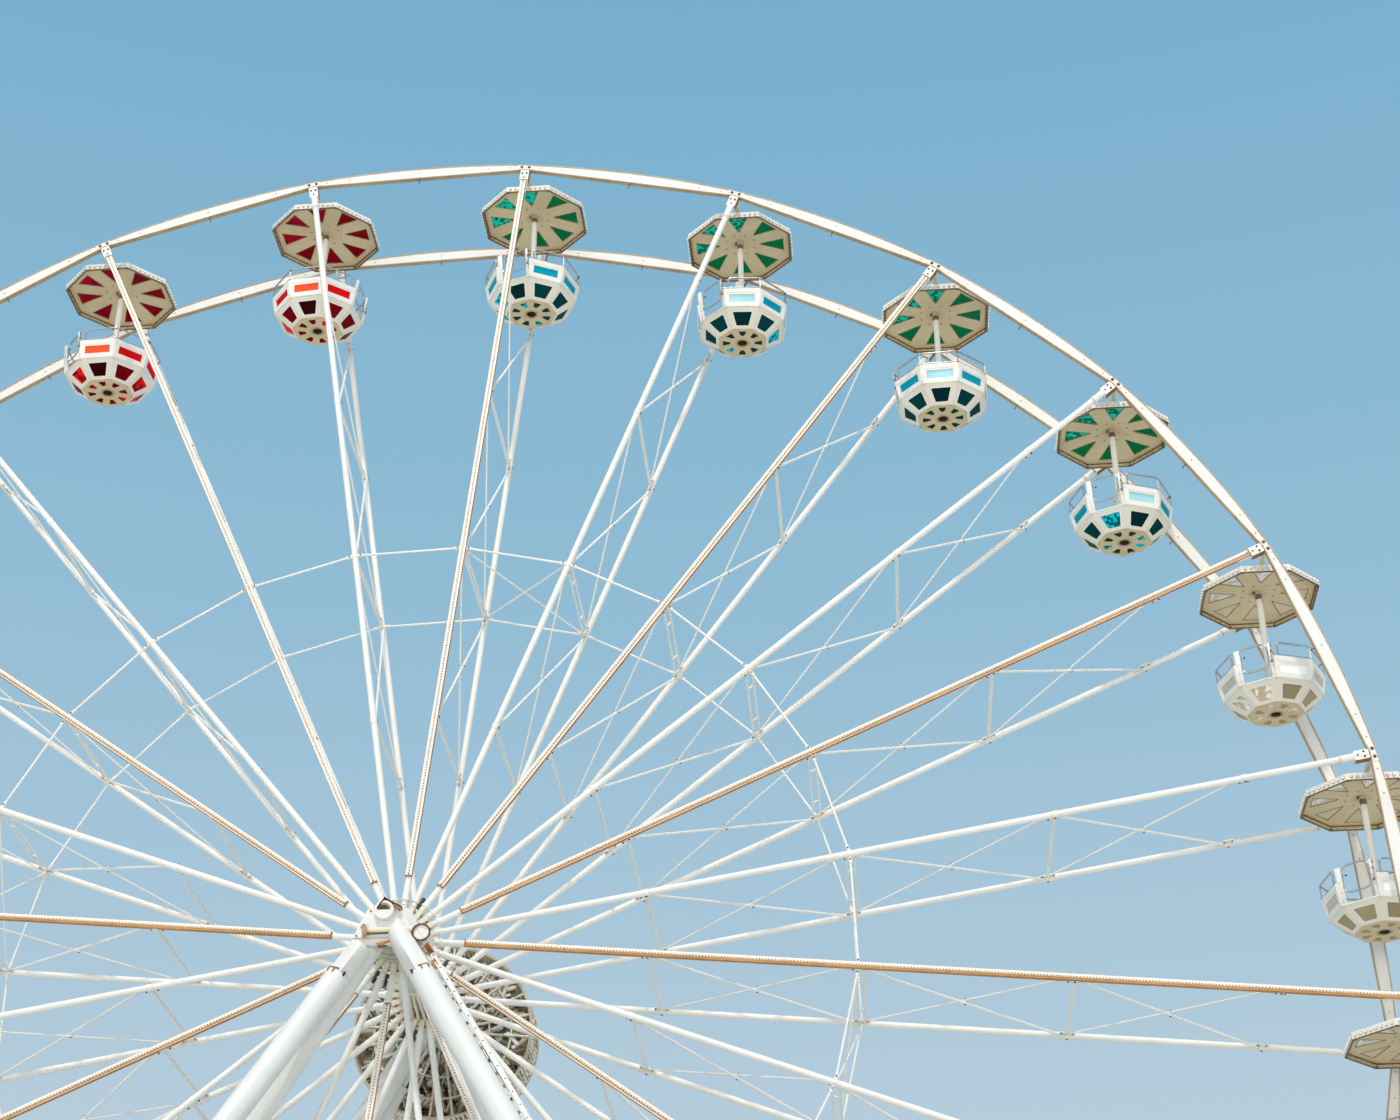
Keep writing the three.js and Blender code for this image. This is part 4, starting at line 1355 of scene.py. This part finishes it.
def dish_panel(body, panes, place, i):
    """One eighth of the flat underside, with a small rounded pane."""
    near, far = 0.095, dish_radius
    corners = trapezoid(far * half_side, far * octagon, near * half_side, near * octagon)
    window = rounded(trapezoid(0.08, 0.385, 0.032, 0.235), 0.022, 4)
    body.panel(corners, window, -0.014, 0.0, "dish", place)
    panes.prism(trapezoid(0.085, 0.39, 0.036, 0.23), -0.013, -0.008, f"dish_{i}", place)


def centre_sleeve(body):
    """The sleeve that turns on the pole, with its collars, and the rusty ring round it in the dish."""
    bore = pole_radius + 0.001
    profile = [(bore, floor_top - 0.01), (sleeve_radius, floor_top - 0.01),
               (sleeve_radius, sleeve_top - 0.02), (sleeve_radius - 0.008, sleeve_top), (bore, sleeve_top)]
    body.spin(profile, "white", 28, closed=True)
    near, far = sleeve_radius - 0.001, sleeve_radius + 0.016
    for z in (sleeve_top - 0.08, floor_top + 0.02):
        body.spin([(near, z), (far, z + 0.006), (far, z + 0.034), (near, z + 0.04)], "white", 28, closed=True)
    body.spin([(0.072, dish_bottom + 0.04), (0.112, dish_bottom + 0.001), (0.112, dish_bottom + 0.014),
               (0.08, dish_bottom + 0.05)], "orange_rust", 28, closed=True)
    body.ring(bore, 0.085, dish_bottom + 0.05, dish_bottom + 0.06, "dark_steel", None, 24)


def door_frame(body):
    """The posts on each side of the doorway, leaning with the panels, and the sill."""
    for side, half in ((-1, 0.048), (1, 0.024)):
        out = sides_of(side * eighth / 2)[0]
        low = out * (ridge_radius - 0.02) + Vector((0, -side * 0.035, ridge_height + 0.02))
        high = out * (tub_radius + 0.012) + Vector((0, -side * 0.035, post_top))
        place = axes(low, (0, 1, 0), high - low)
        body.block((-half, 0, -0.018), (half, (high - low).length, 0.018), "white", place, 0.008)
        for way in (-1, 1):
            body.bolts(place, [(0, y, way * 0.018) for y in (0.05, 0.2, 0.36)], 0.009, 0.006, "beige", way)
    sill = at((ridge_radius * octagon, 0, ridge_height))
    body.block((-0.045, -0.3, -0.004), (-0.004, 0.3, 0.022), "white", sill, 0.005)


def rails():
    """The bent guard rail round the tub with its posts, clamps and the thin bar above the panels."""
    shape = Shape()
    ring = octagon_corners(tub_radius - 0.016, rail_height)
    low = octagon_corners(tub_radius - wall / 2, tub_height)
    first = ring[0] + (ring[1] - ring[0]).normalized() * 0.09
    last = ring[7] + (ring[6] - ring[7]).normalized() * 0.09
    path = [first - raised(0.27), first, *ring[1:7], last, last - raised(0.27)]
    shape.pipe(bent(path, 0.07, steps=6), rail_radius, "chrome", 12)
    for i in range(1, 7):
        shape.tube(low[i], ring[i], 0.013, "white" if i % 2 else "chrome", 10)
        clamp = "rubber" if i in (2, 5) else "chrome"
        for z in (0.0, 0.235):
            shape.tube(low[i] + raised(z), low[i] + raised(z + 0.035), 0.018, clamp, 12)
    thin = octagon_corners(tub_radius - 0.012, tub_height + 0.045)
    shape.pipe(bent(thin, 0.04), 0.007, "chrome", 8)
    return shape


def gate():
    """The gate: a rounded loop of tube on bushings, with its spring rod and the latch."""
    shape = Shape()
    x = gate_place
    loop = [(x, y, z) for y, z in ((-gate_half, gate_bottom), (gate_half, gate_bottom), (gate_half, gate_top),
                                   (-gate_half, gate_top))]
    shape.pipe(bent(loop, 0.15, closed=True, steps=7), 0.016, "chrome", 12, closed=True)
    rod_x, rod_y = x + 0.035, 0.315
    for z in (-1.76, -1.87, -2.06):
        shape.tube((x, gate_half, z), (rod_x, rod_y + 0.01, z), 0.01, "chrome", 8)
        shape.tube((rod_x, rod_y, z - 0.022), (rod_x, rod_y, z + 0.022), 0.017, "slat", 14)
    shape.tube((rod_x, rod_y, -2.09), (rod_x, rod_y, -1.73), 0.009, "chrome", 8)
    latch = [(x + 0.04, -0.33, -1.88), (x + 0.02, -0.24, -1.87), (x + 0.01, -0.17, -1.86)]
    shape.pipe(bent(latch, 0.03), 0.008, "chrome", 8)
    ball = 0.018
    turns = [math.pi * share for share in (0.12, 0.3, 0.5, 0.7, 0.88)]
    profile = [(ball * math.sin(turn), -ball * math.cos(turn)) for turn in turns]
    shape.spin(profile, "rubber", 12, at(latch[-1]))
    return shape


# Assembly

def build_wheel():
    """Rims, trusses, hub, and the lamp strips on every other spoke."""
    at_hub = at(hub)
    for side, name in ((-1, "front_rim"), (1, "rear_rim")):
        piece(f"{name}_dressed", rim(side).mesh(name), "wheel", at_hub, name)
    truss_mesh = truss().mesh("truss")
    brace_mesh = brace().mesh("brace")
    for k in range(cabin_count):
        place = at_hub @ Matrix.Rotation(-spoke_angle(k), 4, "Y")
        number = f"{k + 1:02d}"
        sector = f"spokes_{k // cabins_per_sector + 1}"
        piece(f"truss_{number}", truss_mesh, "wheel", place, sector)
        if k % 2 == 0:
            # The cube of the cosine moves the strip's painted shadow toward the lower side on level spokes
            strip = lamp_strip(math.cos(spoke_angle(k)) ** 3).mesh(f"lamp_strip_{number}")
            piece(f"lamp_strip_{number}", strip, "wheel", place)
        if k in braced_bays:
            piece(f"brace_{number}", brace_mesh, "wheel", place)
    piece("hub_dressed", hub_shape().mesh("hub"), "wheel", at_hub, "hub")


def build_stand():
    """The two towers and the base."""
    for side, name in ((-1, "front_tower"), (1, "rear_tower")):
        piece(f"{name}_dressed", tower(side).mesh(name), "stand", None, name)
    piece("base_frame_dressed", base().mesh("base"), "stand", None, "base_frame")


def pane_finishes(k, colour):
    """The finish of each pane of a tub: painted light on the upper pane in front, painted shade on the lower
    one in front, and painted glints on a few of the other lower and floor panes.
    """
    rng = random.Random(k)
    swap = {}
    for i in range(8):
        turn = door_headings[k % len(door_headings)] + 45 * i
        ahead = abs((turn + 90 + 180) % 360 - 180) < 22.5
        # The pane toward -Y takes the front finish: painted light above, painted shade below
        swap[f"upper_{i}"] = f"front_{colour}" if ahead else f"side_{colour}"
        kinds = ("", "_bright", "_bright") if colour == "red" else ("", "", "_bright")
        swap[f"lower_{i}"] = f"front_lower_{colour}" if ahead else f"lower_{colour}" + rng.choice(kinds)
        swap[f"dish_{i}"] = f"lower_{colour}" + rng.choice(("", "", "", "", "", "", "_bright"))
    return swap


def build_cabins():
    """Every cabin from the same few meshes; the panes differ by colour and by which way they face."""
    roof, roof_panes, bulbs = canopy()
    body, tub_panes = tub()
    roof_mesh, bulb_mesh, tub_mesh = roof.mesh("canopy"), bulbs.mesh("bulbs"), body.mesh("tub")
    rail_mesh, gate_mesh = rails().mesh("rails"), gate().mesh("gate")
    roof_pane_meshes = {}
    for colour in ("red", "green", "clear"):
        # The three roof panes toward -X and -Y get the bright finish: painted lit patches and glints
        swap = {f"roof_{i}": f"roof_{colour}" + ("_bright" if i in (4, 5, 6) else "") for i in range(8)}
        roof_pane_meshes[colour] = roof_panes.mesh(f"roof_panes_{colour}", swap)
    groups = (("red", "red", "red"), ("green", "blue", "blue"), ("clear", "clear", "white"))
    for k, axle_place in enumerate(axles):
        number = f"{k + 1:02d}"
        roof_colour, tub_colour, tub_slot = groups[(k + 2) % 12 // 4]
        heading = math.radians(door_headings[k % len(door_headings)])
        place = at(axle_place)
        turned = place @ Matrix.Rotation(heading, 4, "Z")
        pane_mesh = tub_panes.mesh(f"tub_panes_{number}", pane_finishes(k, tub_colour))
        for name, mesh, slot, node in (
                ("roof", roof_mesh, f"canopy_{roof_colour}", f"canopy_{number}"),
                ("panes", roof_pane_meshes[roof_colour], f"{roof_colour}_glass", None),
                ("bulbs", bulb_mesh, "bulbs", None)):
            piece(f"canopy_{number}_{name}", mesh, f"cabin_{number}", place, node)
        for name, mesh, slot, node in (
                ("tub", tub_mesh, f"basket_{tub_slot}", f"basket_{number}"),
                ("panes", pane_mesh, f"{tub_colour}_glass", None),
                ("rails", rail_mesh, "chrome", None),
                ("gate", gate_mesh, "chrome", None)):
            piece(f"basket_{number}_{name}", mesh, f"tub_{number}", turned, node)


def build_stage():
    """A plain pale floor, the sky, one sun and the photograph's camera."""
    n = Nodes("floor")
    n.set(Base_Color=n.mix(n.noise(0.3), (0.82, 0.77, 0.7), (0.86, 0.81, 0.74)), Roughness=0.9)
    floor = Shape()
    floor.spin([(140.0, -0.06), (140.0, 0.0)], "floor", 96)
    in_scene("floor", floor.mesh("floor"))
    sky()
    sun = bpy.data.lights.new("key", "SUN")
    sun.energy = 2.1
    sun.angle = math.radians(3.0)
    sun.color = (1.0, 0.935, 0.85)
    lamp = in_scene("key", sun)
    lamp.rotation_mode = "QUATERNION"
    lamp.rotation_quaternion = Vector((-0.04, -0.55, 0.83)).to_track_quat("Z", "Y")
    camera = bpy.data.cameras.new("camera")
    camera.sensor_width = sensor
    camera.lens = photo_focal_px * sensor / photo_width_px
    camera.clip_end = 500.0
    view = in_scene("camera", camera)
    turn = Matrix((camera_right, camera_up, camera_right.cross(camera_up))).transposed().to_4x4()
    view.matrix_world = at(camera_place) @ turn
    scene = bpy.context.scene
    scene.camera = view
    scene.view_settings.view_transform = "Standard"


def sky():
    """The two skies by height, mixed by how far a direction points to the front."""
    world = bpy.data.worlds.new("studio")
    world.use_nodes = True
    tree = world.node_tree
    split = node(tree, "SeparateXYZ", {0: node(tree, "TexCoord", {}).outputs["Generated"]}).outputs
    haze = {"Value": split["Y"], "From Min": haze_begins, "From Max": haze_full}
    inputs = {"Fac": node(tree, "MapRange", haze).outputs["Result"]}
    for target, sky_stops in (("Color1", clear_sky), ("Color2", hazy_sky)):
        ramp = node(tree, "ValToRGB", {"Fac": split["Z"]})
        inputs[target] = ramp.outputs["Color"]
        stops = ramp.color_ramp.elements
        for height, _ in sky_stops[2:]:
            stops.new(height)
        for stop, (height, colour) in zip(stops, sky_stops):
            stop.position = height
            stop.color = (*colour, 1.0)
    both = node(tree, "MixRGB", inputs)
    feed(tree, tree.nodes["Background"].inputs["Color"], both.outputs["Color"])
    bpy.context.scene.world = world


make_finishes()
build_stage()
build_wheel()
build_stand()
build_cabins()
